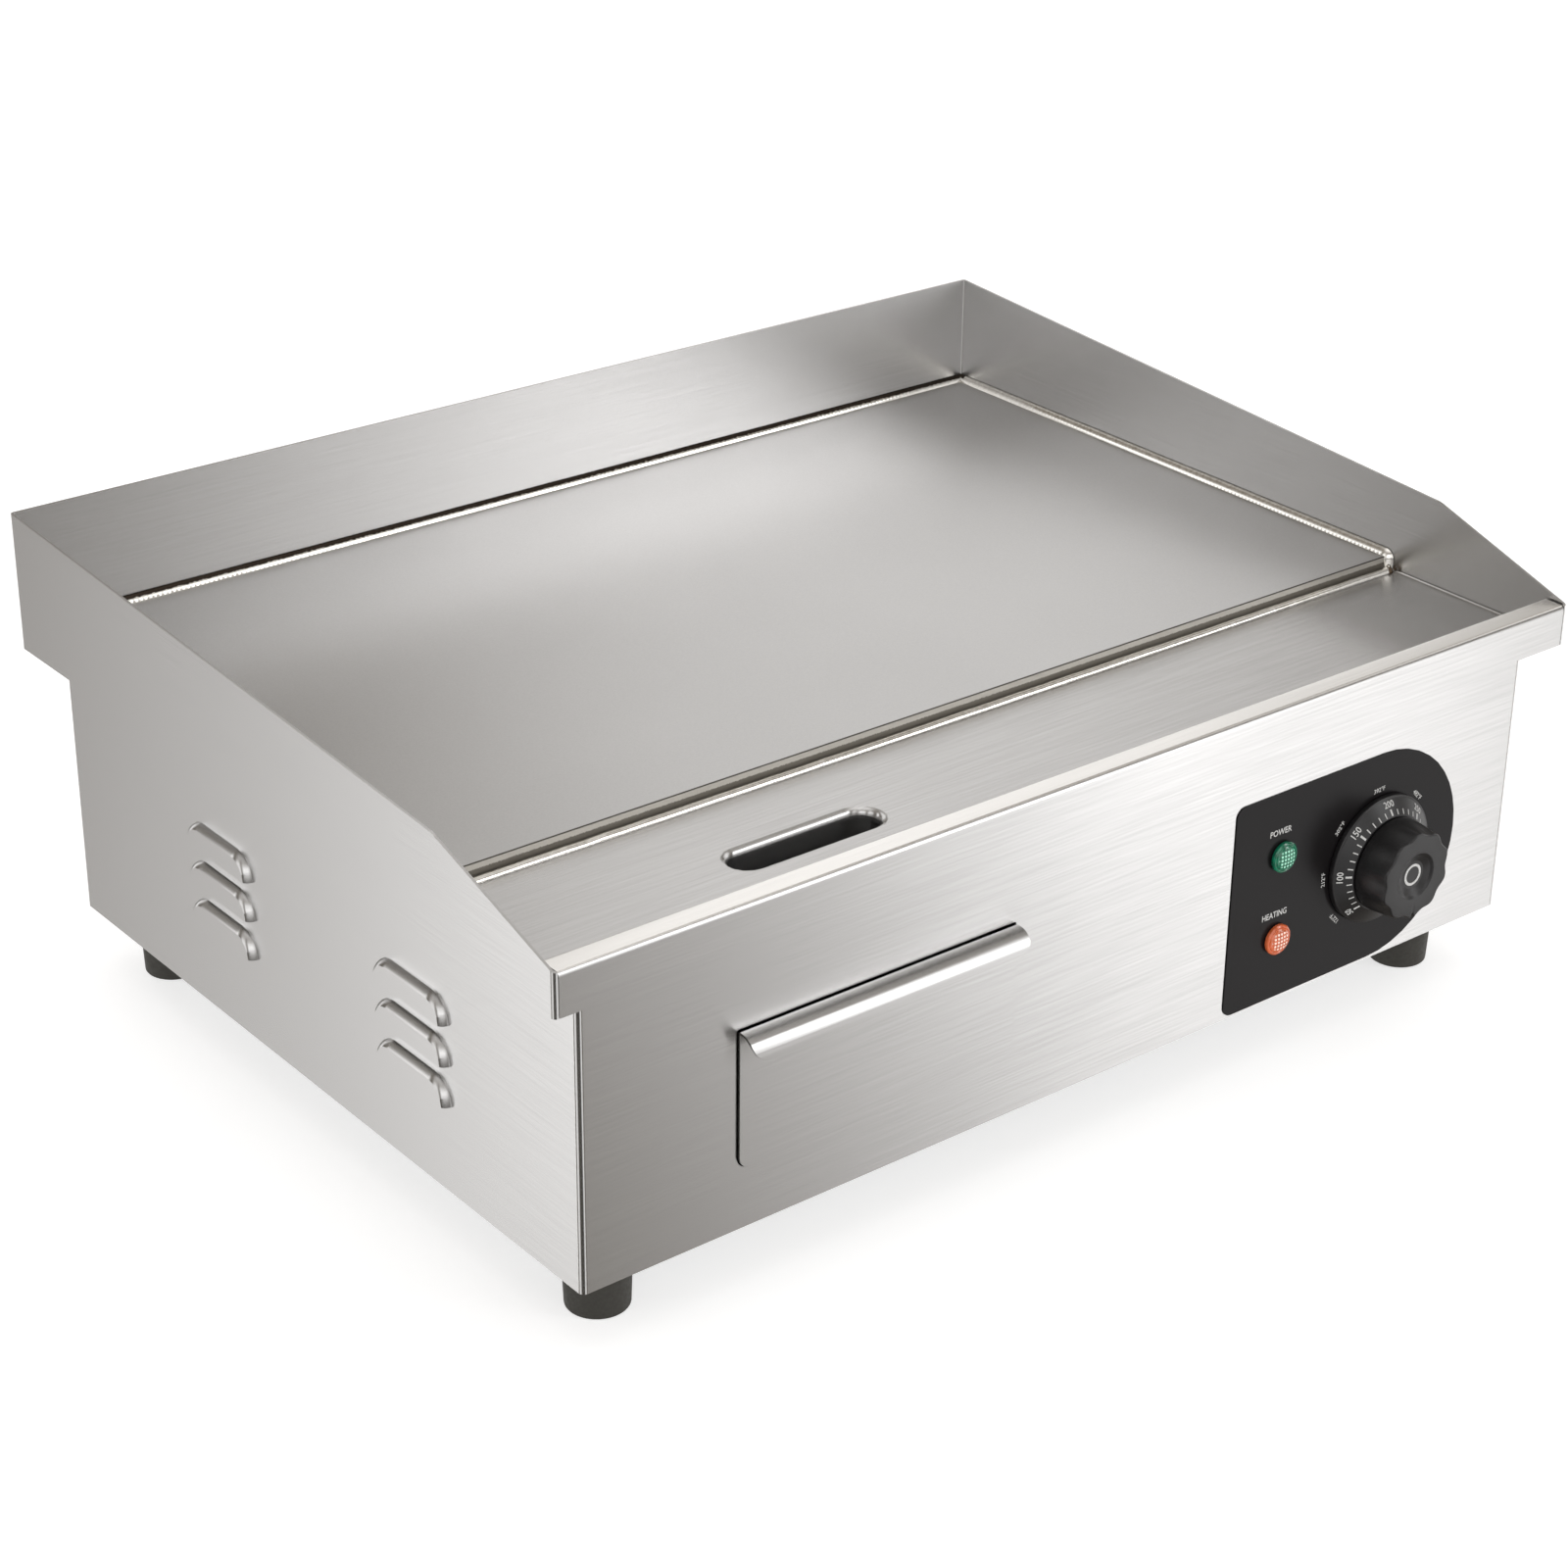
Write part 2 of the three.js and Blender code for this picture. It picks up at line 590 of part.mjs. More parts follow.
// ---------------------------------------------------------------- grease drawer
/** Drawer front: a flat panel whose top edge curls forward into a full-width lip. */
function drawerFront(parent) {
  const front = CASE.front - DRAWER_PROUD;
  const back = front + SHEET;
  const middle = front + SHEET / 2;
  const edge = middle - LIP.reach;
  const lipBottom = DRAWER.top - LIP.radius - LIP.skirt;
  const panelTop = DRAWER.top - 3;
  const panel = rectangle(
    DRAWER.left, DRAWER.bottom, DRAWER.right, panelTop, [DRAWER.corner, DRAWER.corner, 0, 0],
  );
  const section = foldedSheet([
    [middle, panelTop - 4],
    [middle, DRAWER.top - SHEET / 2],
    [edge, DRAWER.top - SHEET / 2],
    [edge, lipBottom],
  ], SHEET, [0.9, LIP.radius - 0.9], 6);
  const curl = solid(prismX(section, DRAWER.left, DRAWER.right));
  const trim = rectangle(
    DRAWER.left, lipBottom, DRAWER.right, DRAWER.top + 1, [LIP.corner, LIP.corner, 0, 0],
  );
  const inFront = solid(prismY(trim, edge - 2, back));
  const lip = curl.intersect(inFront.add(solid(block(
    [DRAWER.left, front - 0.1, panelTop - 6],
    [DRAWER.right, back, DRAWER.top],
  ))));
  add('drawer_front', skin(lip.add(solid(prismY(panel, front, back)))), FINISH.stainless, parent);
}

/** Open-topped grease tray behind the drawer front. */
function drawerTray(parent) {
  const x0 = DRAWER.left + 4;
  const x1 = DRAWER.right - 4;
  const y0 = CASE.front - DRAWER_PROUD + SHEET + 0.1;
  const y1 = CASE.front + SHEET + DRAWER.depth;
  const z0 = DRAWER.bottom + 2;
  const z1 = DRAWER.top - 13;
  const outer = block([x0, y0, z0], [x1, y1, z1]);
  const inner = block([x0 + THIN, y0 + THIN, z0 + THIN], [x1 - THIN, y1 - THIN, z1 + 5]);
  add('drawer_tray', skin(cut(solid(outer), inner)), FINISH.stainless, parent);
}

/** Angle runners that carry the tray, each with a stop tab at its back end. */
function drawerRunners() {
  const front = CASE.front + SHEET + 1;
  const back = CASE.front + SHEET + DRAWER.depth + 2;
  [['left', DRAWER.left + 4, -1], ['right', DRAWER.right - 4, 1]].forEach(([name, trayEdge, side]) => {
    const web = trayEdge + side * 1.2;
    const section = foldedSheet([
      [trayEdge - side * 10, DRAWER.bottom + 2 - GAP - THIN / 2],
      [web, DRAWER.bottom + 2 - GAP - THIN / 2],
      [web, DRAWER.bottom + 24],
      [trayEdge + side * 10, DRAWER.bottom + 24],
    ], THIN, 0.7, 2);
    const tab = block(
      [Math.min(web, trayEdge - side * 9), back - THIN, DRAWER.bottom + 2 - GAP - THIN],
      [Math.max(web, trayEdge - side * 9), back, DRAWER.bottom + 14],
    );
    add(`drawer_runner_${name}`, skin(join(prismY(section, front, back), tab)), FINISH.galvanised);
  });
}

/** Sheet chute that guides grease from the slot down into the tray. */
function greaseChute() {
  const outline = stadium(SLOT.x, SLOT.y, SLOT.length, SLOT.width, 6);
  const top = SHELF_TOP - SHEET - GAP;
  const inner = 0.6;
  const outer = inner + THIN;
  const bottom = DRAWER.top + 4;
  const section = [
    [inner, bottom], [outer, bottom], [outer, top - THIN], [outer + 5, top - THIN],
    [outer + 5, top], [inner, top],
  ];
  add('grease_chute', ringAround(outline, section), FINISH.stainless);
}

// ---------------------------------------------------------------- heating
/** Two tubular elements, each folded into four runs under the plate. */
function heatingElements() {
  const { radius, pitch, reach, fronts, terminalX, runs } = ELEMENT;
  fronts.forEach((front, i) => {
    const corners = [[terminalX, front, ELEMENT_Z - 28], [terminalX, front, ELEMENT_Z]];
    for (let run = 0; run < runs; run += 1) {
      const y = front + run * pitch;
      const ends = run % 2 ? [-reach, reach] : [reach, -reach];
      if (run > 0) corners.push([ends[0], y, ELEMENT_Z]);
      if (run < runs - 1) corners.push([ends[1], y, ELEMENT_Z]);
    }
    const last = front + (runs - 1) * pitch;
    corners.push([terminalX, last, ELEMENT_Z], [terminalX, last, ELEMENT_Z - 28]);
    const terminalBend = 9;
    const runBend = pitch / 2 - 0.2;
    const bends = corners.slice(1, -1).map((_, k, all) => {
      const atEnd = k === 0 || k === all.length - 1;
      return atEnd ? terminalBend : runBend;
    });
    add(`heating_element_${i ? 'rear' : 'front'}`, tube(corners, radius, bends), FINISH.elementSheath);
  });
}

/** Clamp bars under the elements, with their studs and nuts. */
function elementClamps() {
  CLAMP.xs.forEach((x, i) => {
    const name = i ? 'right' : 'left';
    const bar = rectangle(x - CLAMP.width / 2, -75, x + CLAMP.width / 2, 175, [3, 3, 3, 3]);
    STUD_YS.forEach((y) => punch(bar, x, y, 3.4));
    add(`element_clamp_${name}`, prismZ(bar, CLAMP.top - CLAMP.thickness, CLAMP.top, 4), FINISH.zincSteel);
    STUD_YS.forEach((y, k) => {
      const place = `${name}_${k ? 'rear' : 'front'}`;
      const stud = rod('z', 3, CLAMP.top - 12, PLATE_BOTTOM - GAP, x, y, 6);
      add(`clamp_stud_${place}`, stud, FINISH.zincSteel);
      const nutTop = CLAMP.top - CLAMP.thickness - 0.1;
      const nut = punch(hexagon(x, y, 10), x, y, 3.3);
      add(`clamp_nut_${place}`, prismZ(nut, nutTop - 5, nutTop, 6), FINISH.zincSteel);
    });
  });
}

/** Reflector sheet with turned-up ends, and the fibre blanket that lies on it. */
function heatShield() {
  const side = CASE.halfWidth - SHEET - GAP - THIN / 2;
  const section = foldedSheet(
    [[-side, SHIELD_Z + 14], [-side, SHIELD_Z], [side, SHIELD_Z], [side, SHIELD_Z + 14]],
    THIN,
    BEND,
    2,
  );
  const terminals = block(
    [ELEMENT.terminalX - 12, -75, SHIELD_Z - 5],
    [ELEMENT.terminalX + 12, 175, SHIELD_Z + 5],
  );
  const sheet = cut(solid(prismY(section, -88, 188)), terminals);
  add('heat_shield', skin(sheet), FINISH.galvanised);
  const blanket = block([-side + 6, -84, SHIELD_Z + THIN], [ELEMENT.terminalX - 17, 184, CLAMP.top - 13]);
  add('insulation_blanket', blanket, FINISH.fibre);
}

// ---------------------------------------------------------------- control
/** Black membrane with a straight left end and a round right end. */
function controlOverlay() {
  const { left, radius, corner, thickness } = OVERLAY;
  const shape = new THREE.Shape();
  shape.moveTo(left + corner, DIAL.z - radius);
  shape.lineTo(DIAL.x, DIAL.z - radius);
  shape.absarc(DIAL.x, DIAL.z, radius, -Math.PI / 2, Math.PI / 2);
  shape.lineTo(left + corner, DIAL.z + radius);
  shape.absarc(left + corner, DIAL.z + radius - corner, corner, Math.PI / 2, Math.PI);
  shape.absarc(left + corner, DIAL.z - radius + corner, corner, Math.PI, 1.5 * Math.PI);
  Object.values(LAMPS).forEach((z) => punch(shape, LAMP_X, z, LAMP_HOLE));
  punch(shape, DIAL.x, DIAL.z, BUSH_HOLE);
  add('control_overlay', prismY(shape, CASE.front - 0.1 - thickness, CASE.front - 0.1, 10), FINISH.membrane);
}

/** Fixed dial ring: a low rim with a cone that carries the scale. */
function dialBezel() {
  const profile = [
    [12, 0.8], [29.8, 0.8], [30.5, 1.2], [30.5, 3.0], [30.0, 3.5],
    [22.9, 8.0], [22, 8.3], [12, 8.3], [12, 0.8],
  ];
  add('dial_bezel', turnedFront(profile, DIAL.x, DIAL.z, 40), FINISH.blackPlastic);
}

/** Knob with a smooth skirt, a scalloped grip, a dished face and a pointer notch. */
function controlKnob(parent) {
  const profile = [
    [0, 17], [3.2, 17], [3.2, 4], [7, 4], [7, 8.6], [21.8, 8.6], [22.2, 9.4], [21.9, 13.5], [21.5, 16.5],
    [20.8, 22.6], [20.2, 24], [19, KNOB_FACE], [13, KNOB_FACE], [12, 24.1], [8, 22.8], [0, 22.2],
  ];
  const geometry = turned(profile, 40);
  const place = geometry.attributes.position;
  const flutes = 10;
  for (let i = 0; i < place.count; i += 1) {
    const [x, h, z] = [place.getX(i), place.getY(i), place.getZ(i)];
    const radius = Math.hypot(x, z);
    if (radius > 18 && h > 14) {
      const depth = 0.5 - 0.5 * Math.cos(flutes * Math.atan2(x, z));
      const scale = (radius - 1.5 * depth) / radius;
      place.setXYZ(i, x * scale, h, z * scale);
    }
  }
  geometry.rotateX(Math.PI).translate(DIAL.x, CASE.front, DIAL.z);
  const notch = block(
    [DIAL.x - 0.8, CASE.front - KNOB_FACE - 1, DIAL.z - 24],
    [DIAL.x + 0.8, CASE.front - KNOB_FACE + 1.2, DIAL.z - 14],
  );
  add('control_knob', skin(cut(solid(geometry), notch)), FINISH.blackPlastic, parent);
}

/** D-shaped spindle that the knob sits on. */
function thermostatShaft(parent) {
  const shape = new THREE.Shape();
  shape.absarc(DIAL.x, DIAL.z, 2.95, (-50 * Math.PI) / 180, (230 * Math.PI) / 180);
  add('thermostat_shaft', prismY(shape, CASE.front - 16.6, CASE.front + 22, 14), FINISH.zincSteel, parent);
}

/** Capillary thermostat behind the panel: body, bush, capillary tube, bulb and its clip. */
function thermostat() {
  const inside = CASE.front + SHEET + GAP;
  const body = solid(block([DIAL.x - 21, inside + 1, DIAL.z - 17], [DIAL.x + 21, inside + 32, DIAL.z + 17]));
  const bush = rod('y', 5.2, CASE.front - 3, inside + 2, DIAL.x, DIAL.z);
  const bore = rod('y', 3.3, CASE.front - 5, inside + 24, DIAL.x, DIAL.z);
  const terminals = [-12, 12].map((dx) => block(
    [DIAL.x + dx - 3, inside + 31, DIAL.z - 10],
    [DIAL.x + dx + 3, inside + 40, DIAL.z - 9.2],
  ));
  const joined = terminals.reduce((sum, terminal) => sum.add(solid(terminal)), body.add(solid(bush)));
  add('thermostat_body', skin(cut(joined, bore)), FINISH.blackPlastic);

  const bulbY = 50;
  const bulbZ = PLATE_BOTTOM - GAP - 3;
  const bulb = rod('x', 3, -45, 45, bulbY, bulbZ, 12);
  add('thermostat_bulb', bulb, FINISH.copper);
  const capillary = [
    [DIAL.x, inside + 32.4, DIAL.z + 8], [DIAL.x, inside + 48, DIAL.z + 8], [232, inside + 70, 118],
    [232, -100, 118], [232, -100, 147], [232, bulbY, 147], [232, bulbY, bulbZ], [45.4, bulbY, bulbZ],
  ];
  add('thermostat_capillary', tube(capillary, 1, 6, 3, 6), FINISH.copper);
  const clip = foldedSheet([
    [bulbY - 9, PLATE_BOTTOM - GAP - THIN / 2],
    [bulbY - 4, PLATE_BOTTOM - GAP - THIN / 2],
    [bulbY - 4, bulbZ - 3.8],
    [bulbY + 4, bulbZ - 3.8],
    [bulbY + 4, PLATE_BOTTOM - GAP - THIN / 2],
    [bulbY + 9, PLATE_BOTTOM - GAP - THIN / 2],
  ], THIN, 0.6, 2);
  add('bulb_clip', prismX(clip, -6, 6), FINISH.zincSteel);
}

/** Indicator lamps: a coloured lens in front and the lamp body behind the panel. */
function indicatorLamps() {
  const lens = [
    [0, 0.8], [7.7, 0.8], [8, 1.2], [8, 3.2], [7.5, 3.9], [6.4, 4.4], [4.4, 5.0], [2.2, 5.35], [0, 5.5],
  ];
  Object.entries(LAMPS).forEach(([name, z]) => {
    const finish = name === 'power' ? FINISH.greenLens : FINISH.orangeLens;
    add(`${name}_lamp_lens`, turnedFront(lens, LAMP_X, z, 20), finish);
    const body = [
      [0, -32], [1.2, -32], [1.2, -26], [4.2, -26], [5.6, -22], [5.6, 0.5], [0, 0.5],
    ];
    add(`${name}_lamp_body`, turnedFront(body, LAMP_X, z, 12), FINISH.blackPlastic);
  });
}

// ---------------------------------------------------------------- wiring
/** Ceramic terminal block, earth stud, cable gland with its locknut, and the inner leads. */
function wiring() {
  const floor = BASE_BOTTOM + SHEET + GAP;
  const profile = new THREE.Shape();
  profile.moveTo(150, floor);
  profile.lineTo(192, floor);
  profile.lineTo(192, floor + 10);
  for (let way = 2; way >= 0; way -= 1) {
    profile.lineTo(161 + way * 14 - 5 + 10, floor + 10);
    profile.lineTo(161 + way * 14 - 5 + 9, floor + 18);
    profile.lineTo(161 + way * 14 - 4, floor + 18);
    profile.lineTo(161 + way * 14 - 5, floor + 10);
  }
  profile.lineTo(150, floor + 10);
  add('terminal_block', prismY(profile, 128, 148), FINISH.ceramic);

  const stud = [[0, floor], [6, floor], [6, floor + 3], [2.9, floor + 3], [2.9, floor + 16], [0, floor + 16]];
  add('earth_stud', turnedUp(stud, 225, 150, 12), FINISH.brass);

  const bore = 4.3;
  const body = [
    [bore, -14], [7.9, -14], [7.9, 0.3], [10.6, 0.3], [10.6, 5],
    [9.2, 6.2], [8, 9.7], [bore, 9.7], [bore, -14],
  ];
  add('cable_gland', turnedRear(body, CABLE.x, CABLE.z, 24), FINISH.blackPlastic);
  const nut = punch(hexagon(CABLE.x, CABLE.z, 22), CABLE.x, CABLE.z, 8.2);
  const locknut = prismY(nut, REAR_PANEL_BACK - 7, REAR_PANEL_BACK - SHEET - GAP, 12);
  add('gland_locknut', locknut, FINISH.blackPlastic);

  const inside = CASE.front + SHEET + GAP;
  const wire = (name, points) => add(name, tube(points, 1.6, 8, 3, 6), FINISH.wireSleeve);
  wire('lead_mains_to_thermostat', [
    [161, 127.7, floor + 14], [161, 90, floor + 14], [184.5, 90, 60], [184.5, inside + 60, 60],
    [184.5, inside + 60, DIAL.z - 9.6], [184.5, inside + 40.4, DIAL.z - 9.6],
  ]);
  wire('lead_thermostat_to_elements', [
    [160.5, inside + 40.4, DIAL.z - 9.6], [160.5, inside + 62, DIAL.z - 9.6], [160.5, inside + 62, 112],
    [ELEMENT.terminalX, ELEMENT.fronts[0], 112], [ELEMENT.terminalX, ELEMENT.fronts[0], ELEMENT_Z - 28.4],
  ]);
  wire('lead_elements_to_mains', [
    [175, 127.7, floor + 14], [175, 104, floor + 14], [ELEMENT.terminalX, 104, 90],
    [ELEMENT.terminalX, 160, 90], [ELEMENT.terminalX, 160, ELEMENT_Z - 28.4],
  ]);
}

// ---------------------------------------------------------------- assembly
splashGuard();
frontShelf();
griddlePlate();
weldBeads();
plateGasket();
caseWrap();
rearPanel();
basePlate();
feet();
drawerRunners();
greaseChute();
heatingElements();
elementClamps();
heatShield();
controlOverlay();
dialBezel();
thermostat();
indicatorLamps();
wiring();

const drawer = new THREE.Group();
drawerFront(drawer);
drawerTray(drawer);
griddle.add(drawer);

const knob = new THREE.Group();
controlKnob(knob);
thermostatShaft(knob);
griddle.add(knob);

export default griddle;
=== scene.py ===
"""Countertop electric griddle: surfaces, finishes, stage and camera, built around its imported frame."""

import json
import math

import bmesh
import bpy
import numpy as np
from mathutils import Matrix, Vector

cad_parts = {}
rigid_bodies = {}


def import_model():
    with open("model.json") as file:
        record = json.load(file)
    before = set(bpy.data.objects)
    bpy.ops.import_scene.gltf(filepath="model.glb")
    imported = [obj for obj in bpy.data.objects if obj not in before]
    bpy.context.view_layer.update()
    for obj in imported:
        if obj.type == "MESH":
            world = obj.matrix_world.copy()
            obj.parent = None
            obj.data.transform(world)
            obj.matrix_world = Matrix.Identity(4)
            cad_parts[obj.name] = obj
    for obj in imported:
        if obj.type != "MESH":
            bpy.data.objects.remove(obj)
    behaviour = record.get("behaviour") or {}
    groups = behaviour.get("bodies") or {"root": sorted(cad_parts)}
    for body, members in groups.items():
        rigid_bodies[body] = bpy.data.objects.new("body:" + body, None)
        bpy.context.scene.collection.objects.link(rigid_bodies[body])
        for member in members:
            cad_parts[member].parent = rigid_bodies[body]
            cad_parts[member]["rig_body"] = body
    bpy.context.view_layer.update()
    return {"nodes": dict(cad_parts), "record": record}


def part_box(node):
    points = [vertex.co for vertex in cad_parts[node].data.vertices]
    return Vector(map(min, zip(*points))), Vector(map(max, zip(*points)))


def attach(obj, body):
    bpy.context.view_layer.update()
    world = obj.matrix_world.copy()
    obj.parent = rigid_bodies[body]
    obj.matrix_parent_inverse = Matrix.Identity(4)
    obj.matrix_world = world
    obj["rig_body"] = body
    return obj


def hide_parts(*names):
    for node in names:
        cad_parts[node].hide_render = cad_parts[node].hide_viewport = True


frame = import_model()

bl_info = {
    "name": "Electric Griddle",
    "version": (1, 0, 0),
    "blender": (4, 5, 0),
    "location": "View3D > Sidebar > Griddle",
    "description": "Builds the finished surfaces and materials of a countertop electric griddle",
    "category": "Add Mesh",
}

MM = 0.001

# Camera: its place, the way it faces and its lens.
CAMERA_PLACE = (-0.86525, -1.07025, 0.7759)
CAMERA_AZIMUTH = math.radians(38.58)
CAMERA_DOWN = math.radians(26.31)
CAMERA_ROLL = math.radians(0.59)
CAMERA_LENS = 77.77
SENSOR = 36.0

# Dial: foot and top of its cone as (radius, height above the case), how far the print stands on the cone, and
# the radius of the values printed round the ring.
CONE_FOOT = (29.6 * MM, 3.6 * MM)
CONE_TOP = (22.6 * MM, 8.2 * MM)
INK_RISE = 0.12 * MM
VALUES_RADIUS = 33.6 * MM
# How far out from a lens's middle its small domes go.
LENS_REACH = 4.9 * MM

# The studio's brightness all round, in the dark behind the camera, what is added towards the top, the panel
# in the ceiling, and the soft edge of a panel as a sine of height.
SURROUND = 0.20
BEHIND = 0.06
OVERHEAD = 0.08
CEILING = 1.1
SOFT_EDGE = 0.15
# Azimuth of the dark side, from +Y towards +X in degrees.
DARK_SIDE = 216
# Soft panels: azimuth from +Y towards +X and half width in degrees, lowest and highest sine of height, and
# strength. The last four fill the sides that the first nine leave dark.
SOFTBOXES = [
    (146, 5, 0.0, 0.70, 1.90),
    (140, 5, 0.0, 0.70, 3.00),
    (142, 6, -0.54, -0.10, 0.72),
    (132, 5.5, -0.58, -0.05, 2.00),
    (42, 8.5, -0.30, 0.85, 0.98),
    (327, 6.5, -0.53, 0.0, 0.80),
    (318, 6, -0.62, -0.20, 2.00),
    (318, 6, -0.10, 0.60, 2.00),
    (222, 18, 0.15, 0.60, 2.20),
    (4, 11, -0.70, 0.70, 1.30),
    (92, 14, -0.70, 0.70, 1.30),
    (181, 11, -0.70, 0.70, 1.30),
    (272, 14, -0.70, 0.70, 1.30),
]


# ------------------------------------------------------------------ settings
class GriddleFinishes(bpy.types.PropertyGroup):
    """Colours of the griddle's materials."""

    def colour(name, description, default):
        """A colour setting whose default is an sRGB hex value."""
        return bpy.props.StringProperty(name=name, description=description, default=default)

    steel_light: colour("Steel, light", "Brushed stainless steel between the brush lines", "#C5C4C3")
    steel_dark: colour("Steel, dark", "Brushed stainless steel in the brush lines", "#BFBEBD")
    plate_light: colour("Plate, light", "Ground cooking plate, bright grain", "#C4C3C2")
    plate_dark: colour("Plate, dark", "Ground cooking plate, dark grain", "#B9B8B7")
    weld: colour("Weld", "Bright weld metal", "#E8E6E1")
    plastic: colour("Plastic", "Moulded black plastic of the dial and knob", "#1C1B1C")
    membrane: colour("Membrane", "Printed film behind the dial", "#181617")
    print_ink: colour("Print", "Light ink of the scale and labels", "#D8D8D6")
    rubber: colour("Rubber", "Feet", "#35342F")
    green: colour("Green lamp", "Power lamp lens", "#0E6B4E")
    orange: colour("Orange lamp", "Heating lamp lens", "#C9623C")
    floor: colour("Floor", "Floor of the stage", "#CDCDCD")


class GriddleSizes(bpy.types.PropertyGroup):
    """Sizes of the griddle's fine detail."""

    edge_round: bpy.props.FloatProperty(
        name="Edge rounding", description="Rounding of the cut edges of the sheet",
        default=0.25 * MM, min=0, unit="LENGTH")
    brush_pitch: bpy.props.FloatProperty(
        name="Brush pitch", description="Distance between brush lines",
        default=0.7 * MM, min=0.1 * MM, unit="LENGTH")
    brush_length: bpy.props.FloatProperty(
        name="Brush length", description="Length of one brush line",
        default=45 * MM, min=1 * MM, unit="LENGTH")
    ripple_pitch: bpy.props.FloatProperty(
        name="Weld ripple", description="Distance between the ripples of a weld bead",
        default=2.4 * MM, min=0.5 * MM, unit="LENGTH")
    scallops: bpy.props.IntProperty(
        name="Scallops", description="Number of finger hollows round the knob", default=10, min=3)
    scallop_depth: bpy.props.FloatProperty(
        name="Scallop depth", description="Depth of the finger hollows at the knob's face",
        default=1.5 * MM, min=0, unit="LENGTH")
    facet_pitch: bpy.props.FloatProperty(
        name="Lens facets", description="Distance between the small domes on a lamp lens",
        default=1.75 * MM, min=0.5 * MM, unit="LENGTH")


def settings():
    """The scene's sizes and finishes."""
    scene = bpy.context.scene
    return scene.griddle_sizes, scene.griddle_finishes


# ------------------------------------------------------------------ materials
def linear(hex_colour):
    """An sRGB hex value as linear red, green, blue and alpha."""
    parts = [int(hex_colour[i:i + 2], 16) / 255 for i in (1, 3, 5)]
    return [c / 12.92 if c <= 0.04045 else ((c + 0.055) / 1.055) ** 2.4 for c in parts] + [1.0]


def add_node(tree, kind, values=None, **properties):
    """Adds one node, sets its properties, and sets or links its inputs."""
    node = tree.nodes.new(kind)
    for key, value in properties.items():
        setattr(node, key, value)
    for socket, value in (values or {}).items():
        if isinstance(value, bpy.types.NodeSocket):
            tree.links.new(value, node.inputs[socket])
        else:
            node.inputs[socket].default_value = value
    return node


def new_material(name):
    """An empty node material with its shader and output, ready for its inputs."""
    material = bpy.data.materials.new(name)
    material.use_nodes = True
    tree = material.node_tree
    tree.nodes.clear()
    shader = add_node(tree, "ShaderNodeBsdfPrincipled")
    add_node(tree, "ShaderNodeOutputMaterial", {"Surface": shader.outputs["BSDF"]})
    return material, tree, shader


def object_place(tree):
    """The point being shaded, in metres on the object's own axes."""
    return add_node(tree, "ShaderNodeTexCoord").outputs["Object"]


def noise(tree, place, scale, detail, roughness=0.5):
    """Soft noise with a given number of grains in a metre."""
    return add_node(tree, "ShaderNodeTexNoise", {
        "Vector": place, "Scale": scale, "Detail": detail, "Roughness": roughness}).outputs["Fac"]


def fade(tree, value, start, end, low=0.0, high=1.0, **how):
    """A value carried from the range start to end over to the range low to high, and held beyond it."""
    return add_node(tree, "ShaderNodeMapRange", {
        "Value": value, "From Min": start, "From Max": end, "To Min": low, "To Max": high,
    }, **how).outputs["Result"]


def maths(tree, operation, *values):
    """One arithmetic step on two or three values."""
    return add_node(tree, "ShaderNodeMath", dict(enumerate(values)), operation=operation).outputs[0]


def vector_maths(tree, operation, *values, output="Vector"):
    """One arithmetic step on vectors."""
    node = add_node(tree, "ShaderNodeVectorMath", dict(enumerate(values)), operation=operation)
    return node.outputs[output]


def blend(tree, share, first, second):
    """Two colours mixed: the first at a share of 0, the second at a share of 1."""
    node = add_node(tree, "ShaderNodeMix", {"Factor": share, 6: first, 7: second}, data_type="RGBA")
    return node.outputs[2]


def dress(tree, shader, colour, rough, height, strength, distance):
    """Links a shader's colour and roughness, and raises its surface by a height."""
    bump = add_node(tree, "ShaderNodeBump", {"Height": height, "Strength": strength, "Distance": distance})
    tree.links.new(colour, shader.inputs["Base Color"])
    tree.links.new(rough, shader.inputs["Roughness"])
    tree.links.new(bump.outputs["Normal"], shader.inputs["Normal"])


def stain(material, mask, colour):
    """Lays another colour over a metal where the mask is 1; here it paints light and shade: the rim's painted
    highlight and the weld's painted shade.
    """
    tree = material.node_tree
    base = tree.nodes["Principled BSDF"].inputs["Base Color"]
    tree.links.new(blend(tree, mask, base.links[0].from_socket, linear(colour)), base)


